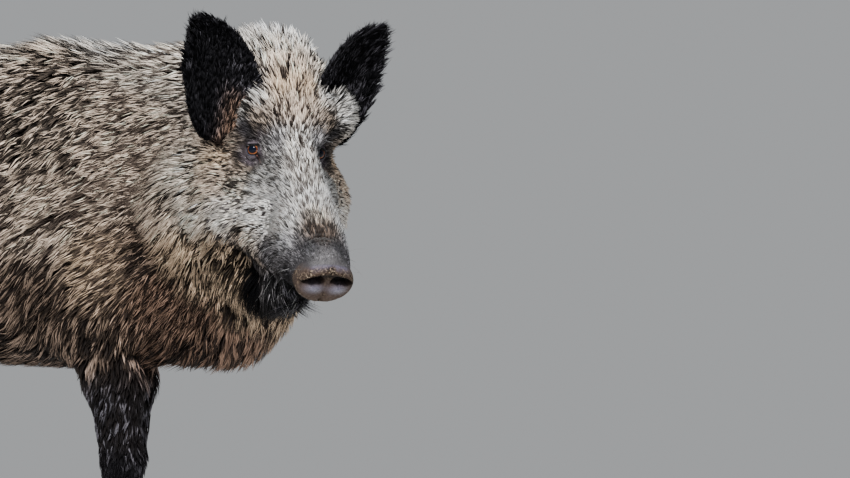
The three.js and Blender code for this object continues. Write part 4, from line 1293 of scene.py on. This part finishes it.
def tuft_mesh(name, parts):
    """One mesh of tufts; each part is a shape, its points, its colours and its places on the unwrap."""
    points, faces, colours, bakes, strands = [], [], [], [], []
    first = 0
    for shape, places, tints, patch in parts:
        count, corners = places.shape[:2]
        used = shape.faces.ravel()
        starts = first + np.arange(count)[:, None, None] * corners
        faces.append((shape.faces[None] + starts).reshape(-1, 3))
        points.append(places.reshape(-1, 3))
        colours.append(tints[:, shape.level].reshape(-1, 3))
        corner = np.stack((shape.across, shape.level / 2), 1)
        bakes.append((patch[:, None] + (corner - 0.5)[None] * SPAN)[:, used].reshape(-1, 2))
        apart = np.floor(rng.random((count, 1, 1)) * 400) * np.array((3.0, 7.0))
        strands.append((corner[None] + apart)[:, used].reshape(-1, 2))
        first += count * corners
    mesh = mesh_from(name, np.concatenate(points), np.concatenate(faces))
    store(mesh, "Coat", np.concatenate(colours))
    for layer, values in (("OFBake", bakes), ("Strand", strands)):
        chart = mesh.uv_layers.new(name=layer)
        chart.uv.foreach_set("vector", np.concatenate(values).astype(np.float32).ravel())
    return mesh


def make_piece(group, parts, material):
    """One piece of the coat, riding on the part's only body."""
    piece = show(group.name, tuft_mesh(group.name, parts), material)
    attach(piece, "root")
    return len(piece.data.polygons)


def make_coat(field, skin, material):
    corners = corners_of(skin.data)
    total = 0
    for group, where in groups_of(field):
        tied, shares = sow(field, corners, where[corners[:, 0]], group.fine)

        def read(name):
            return at_roots(getattr(field, name), tied, shares)

        root, normal, lie = read("places"), unit(read("normals")), read("lie")
        lie = laid_flat(lie, normal)
        short = read("length") < SHORT
        length = read("length") * rng.uniform(0.72, 1.15, len(root))
        width = read("width") * rng.uniform(0.75, 1.25, len(root)) * group.fine
        lock = locks(root)
        middle, tip, across = tuft_lines(root, normal, lie, length, read("depth"), lock)
        colours = tuft_colours(len(root), read("tip"), read("ground"), read("pale"), lock)
        patch = unwrapped(group, root)
        parts = []
        for shape, kind in ((SPIKE, short), (JOINTED, ~short)):
            lines = (values[kind] for values in (root, normal, width, middle, tip, across))
            parts.append((shape, tuft_points(shape, *lines), colours[kind], patch[kind]))
        count = make_piece(group, parts, material)
        total += count
        print(f"{group.name}: {len(root)} tufts, {count} triangles")
    print(f"coat: {total} triangles")


# where each cluster of whiskers is rooted, the way they point, how many there are and how long
WHISKERS = (
    ((196, -40, 34), (0.2, -0.9, 0.3), 4, 30),
    ((182, -20, 47), (0.0, -0.8, 0.6), 3, 32),
    ((206, 12, 38), (0.3, -0.2, 0.9), 4, 26),
    ((190, -84, 8), (0.4, -0.9, 0.1), 5, 52),
    ((150, -92, 30), (0.3, -0.95, 0.2), 4, 50),
    ((8, 30, 46), (0.5, 0.6, 0.6), 4, 20),
)
WHISKER_WIDTH = 0.5
WHISKER_SPREAD = 17.0  # millimetres round a cluster's middle


def make_whiskers(field, material):
    """Single long hairs about the snout, the chin and the eyes, rooted on the skin."""
    roots, ways, lengths = [], [], []
    tree = tree_of(field.places)
    for where, way, count, length in WHISKERS:
        for side in ((1, 1, -1), (1, 1, 1)):
            middle, point = np.multiply(where, side), np.multiply(way, side)
            for _ in range(count):
                near = from_skull(middle + rng.normal(0, WHISKER_SPREAD, 3) * (1, 1, 0.4))
                roots.append(tree.find(near)[1])
                ways.append(unit(point + rng.normal(0, 0.35, 3)) @ SKULL)
                lengths.append(length * rng.uniform(0.6, 1.15))
    root, normal, way = field.places[roots], field.normals[roots], np.array(ways)
    half = (np.array(lengths) / 2)[:, None] * MM
    width = np.full(len(roots), WHISKER_WIDTH)
    way = unit(way + normal * (0.35 - np.minimum((way * normal).sum(1), 0))[:, None])
    sag = np.array((0, 0, -1)) * rng.uniform(0.0, 0.6, (len(roots), 1))
    middle = root + way * half
    tip = middle + unit(way + sag) * half
    across = unit(np.cross(way, normal + 1e-4))
    grey = rng.uniform(0.01, 0.3, (len(roots), 1, 1)) * np.ones((1, 3, 3))
    points = tuft_points(JOINTED, root, normal, width, middle, tip, across)
    group = Group("whiskers", NOSE, SKULL[0], SKULL[2], 1.0)
    make_piece(group, [(JOINTED, points, grey, unwrapped(group, root))], material)


# ---- eyes and hooves


def stand_for(piece, node):
    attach(piece, "root")
    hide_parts(node)


CORNEA = 0.9  # how far the clear bulge stands out, in millimetres


def make_eye(node, material):
    """A ball with a clear bulge in front, turned along the sight."""
    work = bmesh.new()
    bmesh.ops.create_uvsphere(work, u_segments=48, v_segments=32, radius=EYE_RADIUS * MM)
    for vertex in work.verts:
        place = np.array(vertex.co)
        off_axis = math.hypot(place[0], place[1]) / MM
        if place[2] > 0:
            vertex.co.z += CORNEA * MM * float(bump(off_axis, IRIS * 1.15))
    mesh = bpy.data.meshes.new(f"{node}_ball")
    work.to_mesh(mesh)
    work.free()
    smooth(mesh)
    piece = show(f"{node}_ball", mesh, material)
    sight = unit(np.array(GAZE[node]) @ SKULL)
    across = unit(np.cross((0, 0, 1), sight))
    up = np.cross(sight, across)
    columns = zip(across, up, sight, centre(node))
    piece.matrix_world = Matrix([*columns, (0, 0, 0, 1)])
    stand_for(piece, node)


def make_hoof(node, material):
    """The solid's own shape with its facets rounded, standing on the same flat sole."""
    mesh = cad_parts[node].data.copy()
    mesh.name = f"{node}_horn"
    work = bmesh.new()
    work.from_mesh(mesh)
    bmesh.ops.remove_doubles(work, verts=work.verts, dist=0.1 * MM)
    bmesh.ops.subdivide_edges(work, edges=work.edges, cuts=2, use_grid_fill=True)
    level = {"use_axis_x": True, "use_axis_y": True, "use_axis_z": False}
    for _ in range(3):
        bmesh.ops.smooth_vert(work, verts=work.verts, factor=0.5, **level)
    bmesh.ops.triangulate(work, faces=work.faces)
    work.to_mesh(mesh)
    work.free()
    smooth(mesh)
    mesh.materials.clear()
    stand_for(show(f"{node}_horn", mesh, material), node)


# ---- putting it together


def main():
    add_camera()
    add_studio()
    add_floor()
    skin = make_skin()
    field = groom(skin.data)
    paint_skin(skin.data, field)
    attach(skin, "root")
    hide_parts(*OWNERS)
    hair = coat_material()
    make_coat(field, skin, hair)
    make_whiskers(field, hair)
    glass = eye_material()
    for node, _ in EYE_SIDES:
        make_eye(node, glass)
    horn = horn_material()
    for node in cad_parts:
        if node.startswith(("hoof", "dewclaw")):
            make_hoof(node, horn)


main()
bpy.context.view_layer.update()
